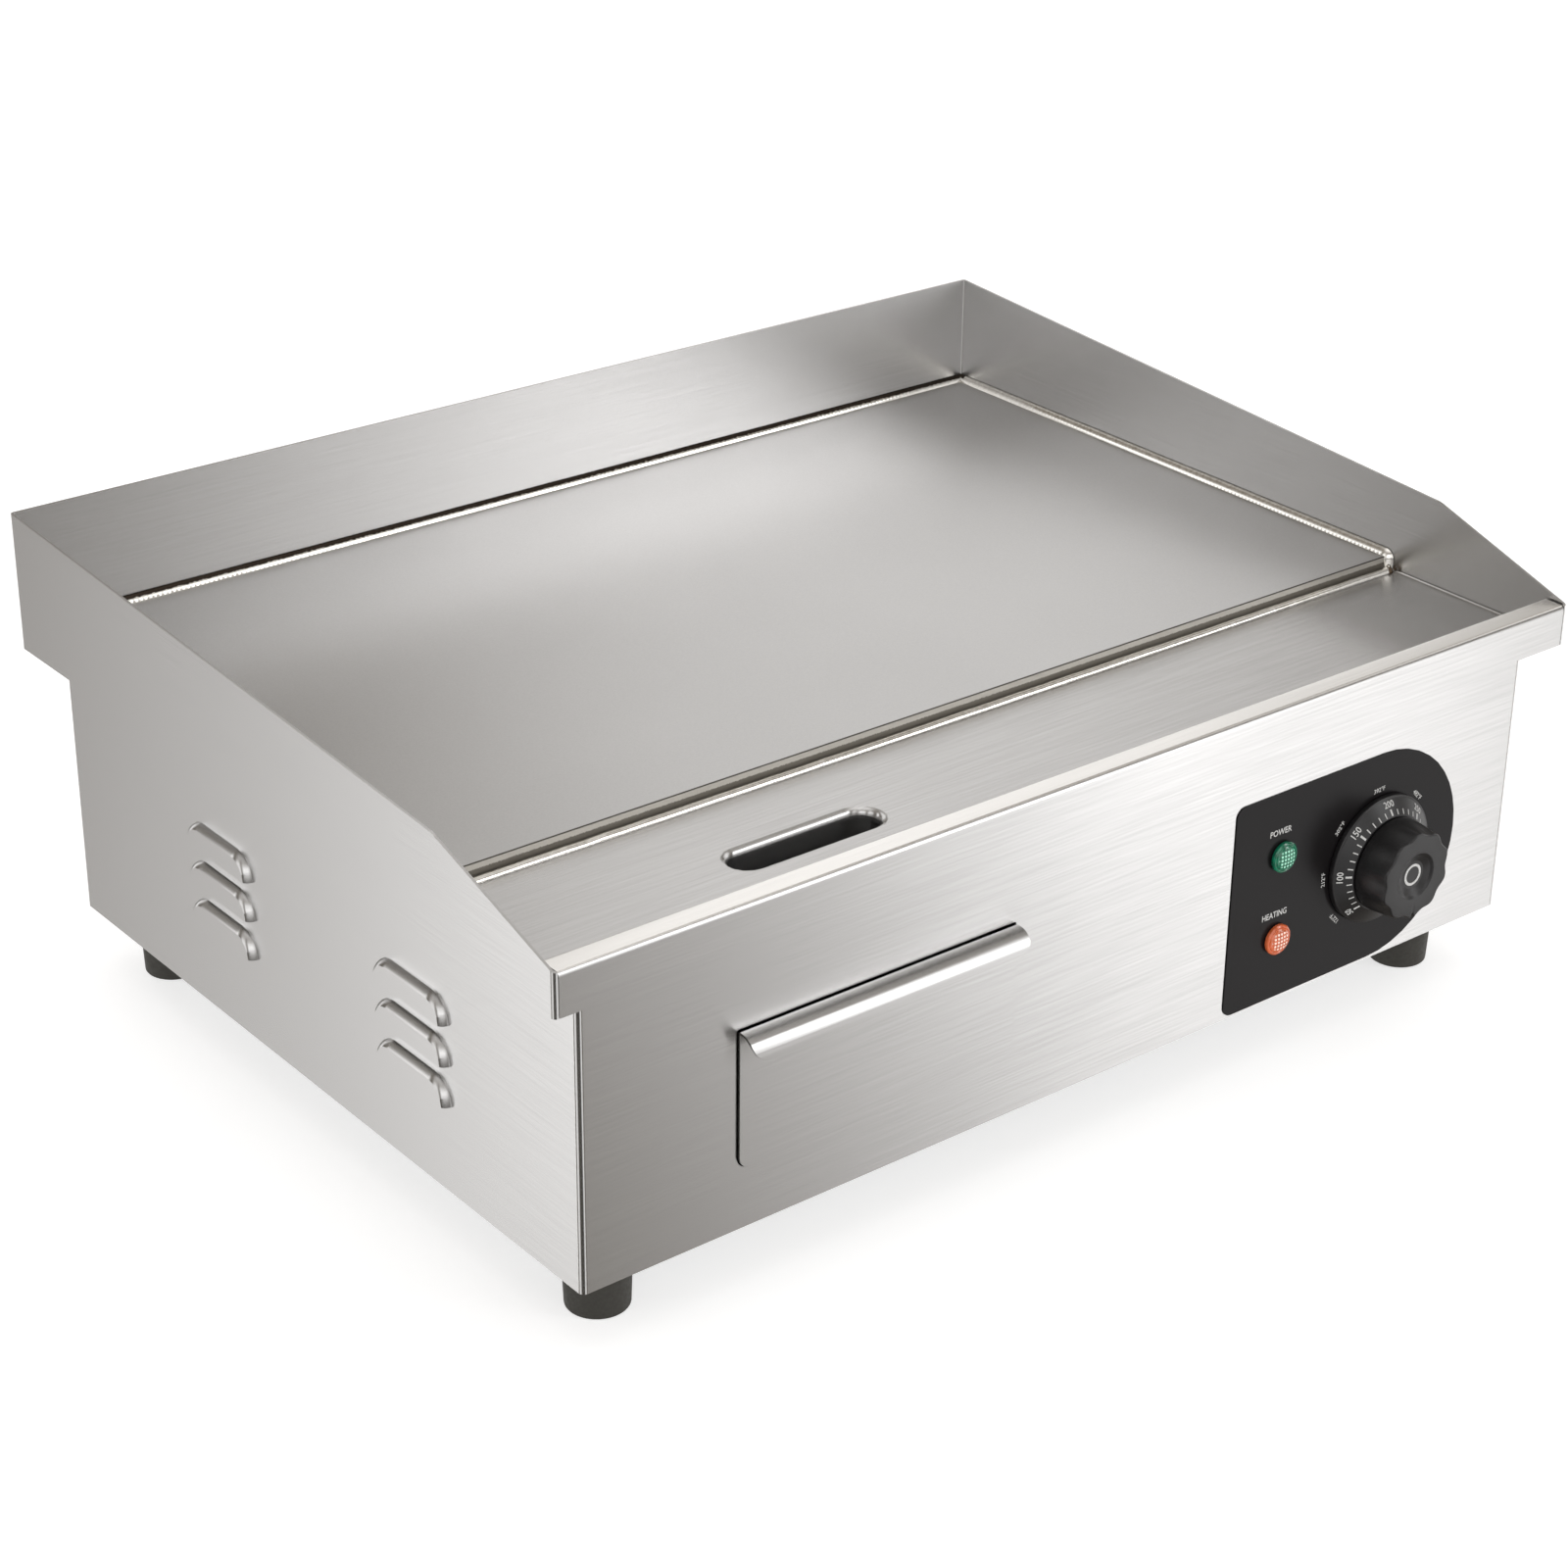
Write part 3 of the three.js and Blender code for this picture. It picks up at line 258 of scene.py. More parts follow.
def brushed_steel(name, along):
    """AISI 430 or 304 sheet, belt-brushed: fine lines along the sheet, soft long reflections across them.
    along is which object axes the lines follow."""
    sizes, finishes = settings()
    line_share, cloud_share = 0.75, 0.25
    clouds_in_a_metre = 9.0
    tone_range = (0.3, 0.7)
    rough, smooth = 0.27, 0.22
    material, tree, shader = new_material(name)
    place = object_place(tree)
    fine, coarse = 1 / sizes.brush_pitch, 1 / sizes.brush_length
    scale = [coarse if axis in along else fine for axis in "XYZ"]
    stretched = add_node(tree, "ShaderNodeMapping", {"Vector": place, "Scale": scale}).outputs["Vector"]
    lines = noise(tree, stretched, 1.0, 2.0)
    # Rolling leaves a slow change of tone over a hand's width.
    cloud = noise(tree, place, clouds_in_a_metre, 2.0)
    tone = maths(tree, "MULTIPLY_ADD", cloud, cloud_share, maths(tree, "MULTIPLY", lines, line_share))
    shade = fade(tree, tone, *tone_range)
    colour = blend(tree, shade, linear(finishes.steel_dark), linear(finishes.steel_light))
    dress(tree, shader, colour, fade(tree, tone, *tone_range, rough, smooth), lines, 0.1, 0.01 * MM)
    # The reflection is smeared across the lines: up a wall, and from front to back on a shelf.
    across = add_node(tree, "ShaderNodeCombineXYZ", {"X": 0.0, "Y": 0.05, "Z": 1.0})
    tree.links.new(across.outputs["Vector"], shader.inputs["Tangent"])
    shader.inputs["Metallic"].default_value = 1.0
    shader.inputs["Anisotropic"].default_value = 0.9
    return material


def wall_steel():
    """Brushed stainless sheet whose lines run level round upright faces."""
    return brushed_steel("stainless_brushed_walls", "XY")


def shelf_steel():
    """Brushed stainless sheet whose lines run from side to side; the rim's top has a painted highlight, its
    colour lightened to near white.
    """
    material = brushed_steel("stainless_brushed_across", "X")
    tree = material.node_tree
    rim_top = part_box("front_shelf")[1].z
    rise = add_node(tree, "ShaderNodeSeparateXYZ", {"Vector": object_place(tree)}).outputs["Z"]
    # Painted highlight: the top of the rim is given a near-white colour.
    stain(material, fade(tree, rise, rim_top - 0.5 * MM, rim_top - 0.3 * MM), "#F2F0ED")
    return material


def ground_plate():
    """Carbon steel plate, surface ground and polished: a fine even grain with almost no direction. Its sheared
    front edge has bright torn metal near the top, is darker under it, and has a dark arris."""
    _, finishes = settings()
    material, tree, shader = new_material("plate_steel_ground")
    low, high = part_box("griddle_plate")
    grains, clouds, tears = 1400.0, 7.0, 900.0
    face_roughness, edge_roughness, grain_roughness = 0.26, 0.45, 0.1
    place = object_place(tree)
    split = add_node(tree, "ShaderNodeSeparateXYZ", {"Vector": place})
    grain = noise(tree, place, grains, 3.0, 0.7)
    tone = maths(tree, "MULTIPLY_ADD", noise(tree, place, clouds, 2.0), 0.5, grain)
    face = blend(tree, fade(tree, tone, 0.5, 1.0), linear(finishes.plate_dark), linear(finishes.plate_light))
    torn = noise(tree, place, tears, 4.0, 0.8)
    ragged = maths(tree, "MULTIPLY_ADD", torn, 1.6 * MM, split.outputs["Z"])
    band = fade(tree, ragged, high.z - 2.3 * MM, high.z - 2.0 * MM)
    # The edge is darker below the bright torn band.
    edge = blend(tree, band, linear("#8B8780"), linear("#DAD7D0"))
    arris = fade(tree, split.outputs["Z"], high.z - 0.6 * MM, high.z - 0.4 * MM)
    edge = blend(tree, arris, edge, linear("#55524D"))
    on_edge = fade(tree, split.outputs["Y"], low.y + 0.5 * MM, low.y + 0.3 * MM)
    rough = fade(tree, on_edge, 0.0, 1.0, face_roughness, edge_roughness)
    rough = maths(tree, "MULTIPLY_ADD", grain, grain_roughness, rough)
    height = maths(tree, "MULTIPLY_ADD", grain, 0.04, maths(tree, "MULTIPLY", torn, on_edge))
    dress(tree, shader, blend(tree, on_edge, face, edge), rough, height, 0.5, 0.3 * MM)
    shader.inputs["Metallic"].default_value = 1.0
    return material


def mottled(name, light, dark, scale, roughness, metallic=0.0, relief=0.0, detail=3.0):
    """A finish with a grain of its own: two tones mixed by noise, with roughness and relief to match.
    scale is the number of grains in a metre."""
    material, tree, shader = new_material(name)
    grain = noise(tree, object_place(tree), scale, detail)
    spread = fade(tree, grain, 0.3, 0.7)
    colour = blend(tree, spread, linear(dark), linear(light))
    dress(tree, shader, colour, fade(tree, spread, 0.0, 1.0, *roughness), grain, 0.3, relief)
    shader.inputs["Metallic"].default_value = metallic
    return material


def weld_metal():
    """TIG weld in stainless wire, ground smooth: bright metal, with a dark band painted along the upper toe of
    the long bead at the back: painted shade of the seam where the bead meets the wall."""
    _, finishes = settings()
    material = mottled("weld_metal", finishes.weld, "#D9D6D0", 500.0, (0.16, 0.24), 1.0, 0.012 * MM)
    tree = material.node_tree
    bead_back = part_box("plate_weld_bead")[1].y
    plate_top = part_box("griddle_plate")[1].z
    toe_height, bead_width, ragged = 2.3 * MM, 4.2 * MM, 1.2 * MM
    place = object_place(tree)
    split = add_node(tree, "ShaderNodeSeparateXYZ", {"Vector": place})
    height = maths(tree, "MULTIPLY_ADD", noise(tree, place, 700.0, 2.0), ragged, split.outputs["Z"])
    # Painted shade: a dark band along the bead's upper toe at the back, where it meets the wall.
    toe = fade(tree, height, plate_top + toe_height, plate_top + toe_height + 0.2 * MM)
    back = fade(tree, split.outputs["Y"], bead_back - bead_width, bead_back - bead_width + 0.4 * MM)
    stain(material, maths(tree, "MULTIPLY", toe, back), "#3A332C")
    return material


def burnt_weld():
    """Weld metal burnt brown where the arc was broken off, glassy with oxide."""
    return mottled("weld_burnt", "#6A5B4B", "#3A322B", 420.0, (0.12, 0.3), 1.0, 0.05 * MM)


def moulded_plastic():
    """Phenolic moulding compound, black, with a fine satin spark-eroded grain."""
    _, finishes = settings()
    material = mottled("phenolic_moulded", finishes.plastic, "#131213", 1600.0, (0.3, 0.42), 0.0, 0.03 * MM)
    material.node_tree.nodes["Principled BSDF"].inputs["IOR"].default_value = 1.52
    return material


def membrane_film():
    """Polycarbonate overlay film, back-printed black, with a velvet front that hardly shines."""
    _, finishes = settings()
    material = mottled(
        "polycarbonate_film", finishes.membrane, "#121011", 2200.0, (0.3, 0.38), 0.0, 0.01 * MM)
    shader = material.node_tree.nodes["Principled BSDF"]
    shader.inputs["Specular IOR Level"].default_value = 0.12
    shader.inputs["IOR"].default_value = 1.58
    return material


def screen_ink():
    """Screen-printed epoxy ink, slightly uneven in cover."""
    _, finishes = settings()
    return mottled("screen_ink", finishes.print_ink, "#B4B4B2", 3000.0, (0.5, 0.6))


def foot_rubber():
    """Moulded EPDM rubber: matt, with a dusty bloom."""
    _, finishes = settings()
    return mottled("epdm_rubber", "#35332F", finishes.rubber, 700.0, (0.6, 0.78), 0.0, 0.08 * MM)


def lens_plastic(name, lamp, colour, deep, spark):
    """Transparent acrylic lens over a neon lamp: saturated and glossy, with a painted glint, a pale spot in
    colour and glow, in the middle of every small dome.
    """
    sizes, _ = settings()
    pitch = sizes.facet_pitch
    material, tree, shader = new_material(name)
    place = object_place(tree)
    streak = fade(tree, noise(tree, place, 420.0, 1.0), 0.35, 0.65)
    body = blend(tree, streak, linear(deep), linear(colour))
    # How near a point is to the middle of a small dome, on the lens's own square lattice.
    off_middle = vector_maths(tree, "SUBTRACT", place, centre_of(lamp + "_lamp_lens"))
    level = vector_maths(tree, "MULTIPLY", off_middle, (1, 0, 1))
    reach = vector_maths(tree, "LENGTH", level, output="Value")
    split = add_node(tree, "ShaderNodeSeparateXYZ", {"Vector": level})
    off_x, off_z = (maths(tree, "PINGPONG", split.outputs[axis], pitch / 2) for axis in "XZ")
    off_dome = add_node(tree, "ShaderNodeCombineXYZ", {"X": off_x, "Z": off_z}).outputs["Vector"]
    near = fade(tree, vector_maths(tree, "LENGTH", off_dome, output="Value"), 0.42 * pitch, 0.2 * pitch)
    inside = fade(tree, reach, LENS_REACH + 0.2 * MM, LENS_REACH - 0.2 * MM)
    # Painted highlight: each small dome's middle is coloured pale, and the glow below repeats it.
    shade = blend(tree, maths(tree, "MULTIPLY", near, inside), body, linear(spark))
    tree.links.new(shade, shader.inputs["Base Color"])
    tree.links.new(shade, shader.inputs["Emission Color"])
    for socket, value in (
        ("Emission Strength", 0.12),
        ("Roughness", 0.12),
        ("IOR", 1.49),
        ("Coat Weight", 0.6),
        ("Coat Roughness", 0.05),
    ):
        shader.inputs[socket].default_value = value
    return material


def material_for(slot):
    """The finish of each of the record's material slots, made once."""
    _, finishes = settings()
    makers = {
        "stainless_sheet": wall_steel,
        "plate_steel": ground_plate,
        "weld_steel": weld_metal,
        # Hot-dip galvanised sheet: grey, with soft spangle about 6 mm across.
        "galvanised_sheet": lambda: mottled(
            "galvanised_spangle", "#B4B8BA", "#989C9E", 170.0, (0.38, 0.55), 1.0, 0.02 * MM, 0.0),
        # Zinc-plated fasteners: bright, faintly blue.
        "zinc_steel": lambda: mottled(
            "zinc_plating", "#CDD1D4", "#B8BCC0", 800.0, (0.22, 0.34), 1.0, 0.02 * MM),
        # Element sheath: steel oxidised to a dull brown grey.
        "element_sheath": lambda: mottled(
            "oxidised_sheath", "#5A5550", "#3E3A37", 350.0, (0.5, 0.7), 1.0, 0.05 * MM),
        # Drawn copper tube, a little tarnished.
        "copper": lambda: mottled("drawn_copper", "#C9835A", "#A8653F", 300.0, (0.25, 0.4), 1.0, 0.02 * MM),
        # Turned brass stud.
        "brass": lambda: mottled("turned_brass", "#CDB36A", "#B0954C", 600.0, (0.22, 0.36), 1.0, 0.02 * MM),
        "black_plastic": moulded_plastic,
        "membrane": membrane_film,
        "rubber": foot_rubber,
        # Each lens's last colour is the pale painted glint on its small domes.
        "green_lens": lambda: lens_plastic(
            "acrylic_green", "power", finishes.green, "#07503A", "#A9EBD0"),
        "orange_lens": lambda: lens_plastic(
            "acrylic_orange", "heating", finishes.orange, "#B5562F", "#FBE0D2"),
        # Steatite terminal block: cream, dry and slightly speckled.
        "ceramic": lambda: mottled("steatite", "#E7E1D3", "#D6CFBF", 900.0, (0.55, 0.7), 0.0, 0.03 * MM),
        # Ceramic-fibre felt: white, matted fibres.
        "mineral_fibre": lambda: mottled(
            "ceramic_fibre", "#EDEBE3", "#D4D0C4", 600.0, (0.9, 1.0), 0.0, 0.3 * MM),
        # Silicone-glass sleeving: woven, brick red.
        "silicone_sleeve": lambda: mottled(
            "glass_sleeving", "#9A4431", "#7A3122", 1500.0, (0.6, 0.8), 0.0, 0.1 * MM),
    }
    key = "griddle_" + slot
    if key not in MATERIALS:
        MATERIALS[key] = makers[slot]()
    return MATERIALS[key]


MATERIALS = {}


def shared(key, maker):
    """A material that is made once and shared."""
    if key not in MATERIALS:
        MATERIALS[key] = maker()
    return MATERIALS[key]


# ------------------------------------------------------------------ surfaces
def piece(name, mesh, material, body="case", replaces=()):
    """Puts a finished mesh in the scene as a piece that rides on a body."""
    made = bpy.data.objects.new(name, mesh)
    bpy.context.scene.collection.objects.link(made)
    mesh.materials.clear()
    mesh.materials.append(material)
    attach(made, body)
    if replaces:
        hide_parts(*replaces)
    return made


def surface(name, points, wrap=True, sharp=35.0):
    """A mesh from a grid of points (rows, columns, 3), merged at poles and seams.
    wrap joins the last column to the first; the first and last rows are closed by merging or by a fan."""
    rows, columns, _ = points.shape
    last = columns if wrap else columns - 1
    i, j = np.meshgrid(np.arange(rows - 1), np.arange(last), indexing="ij")
    k = (j + 1) % columns
    quads = np.stack([i * columns + j, i * columns + k, (i + 1) * columns + k, (i + 1) * columns + j], -1)
    mesh = bpy.data.meshes.new(name)
    mesh.from_pydata(points.reshape(-1, 3).tolist(), [], quads.reshape(-1, 4).tolist())
    tidy(mesh, sharp)
    return mesh


def tidy(mesh, sharp=35.0, dissolve=0.0):
    """Merges doubles, closes open loops, points faces outwards and smooths all but sharp edges."""
    work = bmesh.new()
    work.from_mesh(mesh)
    bmesh.ops.remove_doubles(work, verts=work.verts, dist=0.002 * MM)
    bmesh.ops.dissolve_degenerate(work, dist=0.001 * MM, edges=work.edges)
    if dissolve:
        bmesh.ops.dissolve_limit(
            work, angle_limit=math.radians(dissolve), verts=work.verts, edges=work.edges)
    open_edges = [edge for edge in work.edges if edge.is_boundary]
    if open_edges:
        bmesh.ops.holes_fill(work, edges=open_edges, sides=0)
    bmesh.ops.recalc_face_normals(work, faces=work.faces)
    work.to_mesh(mesh)
    work.free()
    mesh.shade_smooth()
    mesh.set_sharp_from_angle(angle=math.radians(sharp))
    mesh.update()


def refine(made, width, segments=2, angle=50.0):
    """Rounds the sharp edges of a piece and keeps its flat faces flat."""
    if width > 0:
        bevel = made.modifiers.new("edge_round", "BEVEL")
        bevel.width = width
        bevel.segments = segments
        bevel.limit_method = "ANGLE"
        bevel.angle_limit = math.radians(angle)
        bevel.harden_normals = False
    weighted = made.modifiers.new("flat_faces", "WEIGHTED_NORMAL")
    weighted.keep_sharp = True
    weighted.weight = 100
    return made


def formed(node, material, width=None, sharp=30.0):
    """A sheet part as it leaves the press: the frame's solid with its flats merged and its edges eased."""
    sizes, _ = settings()
    mesh = frame["nodes"][node].data.copy()
    mesh.name = node + "_formed"
    tidy(mesh, sharp, dissolve=0.4)
    body = frame["nodes"][node]["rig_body"]
    made = piece(node + "_formed", mesh, material, body, (node,))
    return refine(made, sizes.edge_round if width is None else width)


def rounded(corners, radius, steps=5):
    """A profile's corner points with each inner corner turned into an arc of the given radius."""
    points = [np.array(corner, float) for corner in corners]
    line = [points[0]]
    for before, here, after in zip(points, points[1:], points[2:]):
        back, ahead = before - here, after - here
        reach = min(np.linalg.norm(back), np.linalg.norm(ahead)) * 0.49
        back, ahead = back / np.linalg.norm(back), ahead / np.linalg.norm(ahead)
        half = math.acos(np.clip(back @ ahead, -1, 1)) / 2
        if half > math.radians(88):
            line.append(here)
            continue
        bend = min(radius, reach * math.tan(half))
        centre = here + (back + ahead) / np.linalg.norm(back + ahead) * bend / math.sin(half)
        start = here + back * bend / math.tan(half) - centre
        end = here + ahead * bend / math.tan(half) - centre
        sweep = math.pi - 2 * half
        for share in np.linspace(0, 1, steps):
            turn = np.sin((1 - share) * sweep) * start + np.sin(share * sweep) * end
            line.append(centre + turn / math.sin(sweep))
    line.append(points[-1])
    return np.array(line)


def spun(profile, segments, wave=None):
    """Surface of revolution: every (radius, height) of the profile turned about the axis.
    wave gives the radius lost at each (radius, height, angle)."""
    angle = np.linspace(0, 2 * np.pi, segments, endpoint=False)[None, :]
    radius = profile[:, 0][:, None] + 0 * angle
    height = profile[:, 1][:, None] + 0 * angle
    if wave is not None:
        radius = radius - wave(radius, height, angle)
    return np.stack([radius * np.cos(angle), radius * np.sin(angle), height], -1)


def to_front(points, centre):
    """Local (right, up, outward) points placed on the case front at a centre."""
    return np.stack([
        centre[0] + points[..., 0],
        centre[1] - points[..., 2],
        centre[2] + points[..., 1],
    ], -1)


def text_mesh(words, height, width=None):
    """Flat lettering centred on the origin, scaled to a capital height and, if given, a width."""
    curve = bpy.data.curves.new("words", "FONT")
    curve.body = words
    curve.resolution_u = 3
    # A bold stroke, as a share of the type's size.
    curve.offset = 0.012
    holder = bpy.data.objects.new("words", curve)
    bpy.context.scene.collection.objects.link(holder)
    bpy.context.view_layer.update()
    mesh = bpy.data.meshes.new_from_object(holder.evaluated_get(bpy.context.evaluated_depsgraph_get()))
    bpy.data.objects.remove(holder)
    bpy.data.curves.remove(curve)
    points = np.empty(len(mesh.vertices) * 3)
    mesh.vertices.foreach_get("co", points)
    points = points.reshape(-1, 3)
    low, high = points.min(0), points.max(0)
    points -= (low + high) / 2
    tall = height / (high[1] - low[1])
    wide = tall if width is None else width / (high[0] - low[0])
    points *= (wide, tall, 1)
    faces = [list(face.vertices) for face in mesh.polygons]
    bpy.data.meshes.remove(mesh)
    return points, faces


def joined(name, parts):
    """One mesh from several (points, faces) pairs."""
    points, faces, start = [], [], 0
    for part_points, part_faces in parts:
        points.append(part_points)
        faces += [[start + corner for corner in face] for face in part_faces]
        start += len(part_points)
    mesh = bpy.data.meshes.new(name)
    mesh.from_pydata(np.concatenate(points).tolist(), [], faces)
    mesh.update()
    return mesh


def centre_of(node):
    """Middle of a node's box."""
    low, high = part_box(node)
    return (low + high) / 2


# ------------------------------------------------------------------ pieces
class GRIDDLE_OT_case(bpy.types.Operator):
    """Builds the case, the rear panel, the base and the grease drawer from sheet"""

    bl_idname = "griddle.case"
    bl_label = "Case and drawer"

    def execute(self, context):
        steel = shared("wall_steel", wall_steel)
        for node in ("case_wrap", "rear_panel", "drawer_front", "drawer_tray", "grease_chute"):
            formed(node, steel)
        formed("base_plate", material_for("galvanised_sheet"))
        return {"FINISHED"}


class GRIDDLE_OT_guard(bpy.types.Operator):
    """Builds the splash guard and the front shelf from sheet"""

    bl_idname = "griddle.guard"
    bl_label = "Splash guard and shelf"

    def execute(self, context):
        formed("splash_guard", shared("wall_steel", wall_steel))
        formed("front_shelf", shared("shelf_steel", shelf_steel))
        return {"FINISHED"}


def bead_path(step):
    """Route of the weld that seals the plate: up the plate's right front corner, back along the wall, across,
    forward again and down the left front corner, with each turn rounded. Gives points, the direction off the
    wall and the direction off the plate."""
    low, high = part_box("plate_weld_bead")
    plate_low, plate_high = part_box("griddle_plate")
    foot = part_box("shelf_weld_bead")[0].z
    left, right = np.array([-1.0, 0, 0]), np.array([1.0, 0, 0])
    front, up = np.array([0, -1.0, 0]), np.array([0, 0, 1.0])
    corner = 2.2 * MM
    points, off_wall, off_plate = [], [], []

    def straight(start, end, wall, plate):
        """A straight stretch, in steps of an even length."""
        start, end = np.array(start), np.array(end)
        share = np.linspace(0, 1, max(2, int(np.linalg.norm(end - start) / step)))[:, None]
        points.append(start + share * (end - start))
        off_wall.append(np.tile(wall, (len(share), 1)))
        off_plate.append(np.tile(plate, (len(share), 1)))

    def turn_over(centre, wall, first, last):
        """A quarter turn round the plate's edge, from one side of it to the other."""
        angle = np.linspace(0, math.pi / 2, 10)[1:-1, None]
        away = np.cos(angle) * first + np.sin(angle) * last
        points.append(np.array(centre) + corner * away)
        off_wall.append(np.tile(wall, (len(angle), 1)))
        off_plate.append(away)

    z, y = plate_high.z, plate_low.y
    for x, wall in ((high.x, left), (low.x, right)):
        if wall is left:
            straight((x, y, foot), (x, y, z - corner), wall, front)
            turn_over((x, y + corner, z - corner), wall, front, up)
            straight((x, y + corner, z), (x, high.y, z), wall, up)
            straight((high.x, high.y, z), (low.x, high.y, z), front, up)
        else:
            straight((x, high.y, z), (x, y + corner, z), wall, up)
            turn_over((x, y + corner, z - corner), wall, up, front)
            straight((x, y, z - corner), (x, y, foot), wall, front)
    return [np.concatenate(rows) for rows in (points, off_wall, off_plate)]


class GRIDDLE_OT_plate(bpy.types.Operator):
    """Builds the cooking plate and its weld beads"""

    bl_idname = "griddle.plate"
    bl_label = "Cooking plate and welds"

    def execute(self, context):
        formed("griddle_plate", material_for("plate_steel"), width=0.5 * MM)
        self.plate_bead()
        self.shelf_bead()
        return {"FINISHED"}

    def plate_bead(self):
        """A convex fillet whose leg swells and shrinks with the ripple pitch along the route."""
        sizes, _ = settings()
        leg, ripple, wander, hollow = 3.1 * MM, 0.012, 0.015, 0.16
        points, off_wall, off_plate = bead_path(0.5 * MM)
        way = np.concatenate([[0], np.cumsum(np.linalg.norm(np.diff(points, axis=0), axis=1))])
        rng = np.random.default_rng(7)
        drift = np.interp(way, np.linspace(0, way[-1], 70), rng.normal(0, 1, 70))
        swell = leg * (1 + ripple * np.abs(np.sin(np.pi * way / sizes.ripple_pitch)) + wander * drift)
        turn = np.radians(np.linspace(0, 90, 9))
        bulge = 1 - hollow * np.sin(2 * turn)
        section = np.stack([np.cos(turn) * bulge, np.sin(turn) * bulge], -1)
        section = np.concatenate([section, [[0.0, 0.0]]])
        grid = (points[:, None, :]
                + swell[:, None, None] * (section[None, :, :1] * off_wall[:, None, :]
                                          + section[None, :, 1:] * off_plate[:, None, :]))
        mesh = surface("plate_weld", grid, sharp=60.0)
        piece("plate_weld", mesh, material_for("weld_steel"), "case", ("plate_weld_bead",))
        for side, x in (("left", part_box("plate_weld_bead")[0].x), ("right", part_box("plate_weld_bead")[1].x)):
            self.stop(side, x)

    def stop(self, side, x):
        """The blob where a bead stops at the shelf: a dome whose radius varies as sines of its two angles."""
        inward = -1 if side == "right" else 1
        front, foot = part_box("griddle_plate")[0].y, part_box("shelf_weld_bead")[0].z
        around = np.linspace(0, 2 * np.pi, 48, endpoint=False)[None, :]
        rise = np.linspace(0, np.pi / 2, 16)[:, None]
        lobes = 0.35 * np.sin(3 * around + 1) * np.cos(rise)
        waves = 0.25 * np.sin(5 * around) * np.sin(2 * rise)
        radius = MM * (2.6 + lobes + waves)
        grid = np.stack([
            x + inward * 2.4 * MM + radius * np.cos(rise) * np.cos(around),
            front - 3.0 * MM + 0.9 * radius * np.cos(rise) * np.sin(around),
            foot + 0.8 * radius * np.sin(rise) + 0 * around,
        ], -1)
        mesh = surface("weld_stop_" + side, grid, sharp=80.0)
        piece("weld_stop_" + side, mesh, shared("burnt_weld", burnt_weld), "case", ())

    def shelf_bead(self):
        """A low rounded fillet along the foot of the plate's front edge, from side to side."""
        low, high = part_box("shelf_weld_bead")
        x = np.arange(low.x, high.x, 0.5 * MM)
        rng = np.random.default_rng(11)
        drift = np.interp(x, np.linspace(low.x, high.x, 60), rng.normal(0, 1, 60))
        tall = (high.z - low.z) * 1.15 * (1 + 0.04 * drift)
        turn = np.radians(np.linspace(0, 180, 9))
        y = (low.y + high.y) / 2 - np.cos(turn) * (high.y - low.y) / 2
        z = low.z + np.sin(turn)[None, :] * tall[:, None]
        grid = np.stack([x[:, None] + 0 * z, y[None, :] + 0 * z, z], -1)
        mesh = surface("shelf_weld", grid, sharp=60.0)
        piece("shelf_weld", mesh, material_for("weld_steel"), "case", ("shelf_weld_bead",))


class GRIDDLE_OT_feet(bpy.types.Operator):
    """Builds the tapered rubber feet and the screws in them"""

    bl_idname = "griddle.feet"
    bl_label = "Feet"

    def execute(self, context):
        for place in ("front_left", "front_right", "rear_left", "rear_right"):
            node = "foot_" + place
            low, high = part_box(node)
            centre = (low + high) / 2
            top_radius = (high.x - low.x) / 2
            bottom_radius = top_radius - 1.2 * MM
            profile = rounded([
                (2.8 * MM, 10 * MM), (6.5 * MM, 10 * MM), (6.5 * MM, 0), (bottom_radius, 0),
                (top_radius, high.z), (2.8 * MM, high.z), (2.8 * MM, 10 * MM),
            ], 1.2 * MM)
            points = spun(profile, 64) + np.array([centre.x, centre.y, 0])
            mesh = surface(node + "_moulded", points)
            piece(node + "_moulded", mesh, material_for("rubber"), "case", (node,))
            formed("foot_screw_" + place, material_for("zinc_steel"), width=0.0)
        return {"FINISHED"}


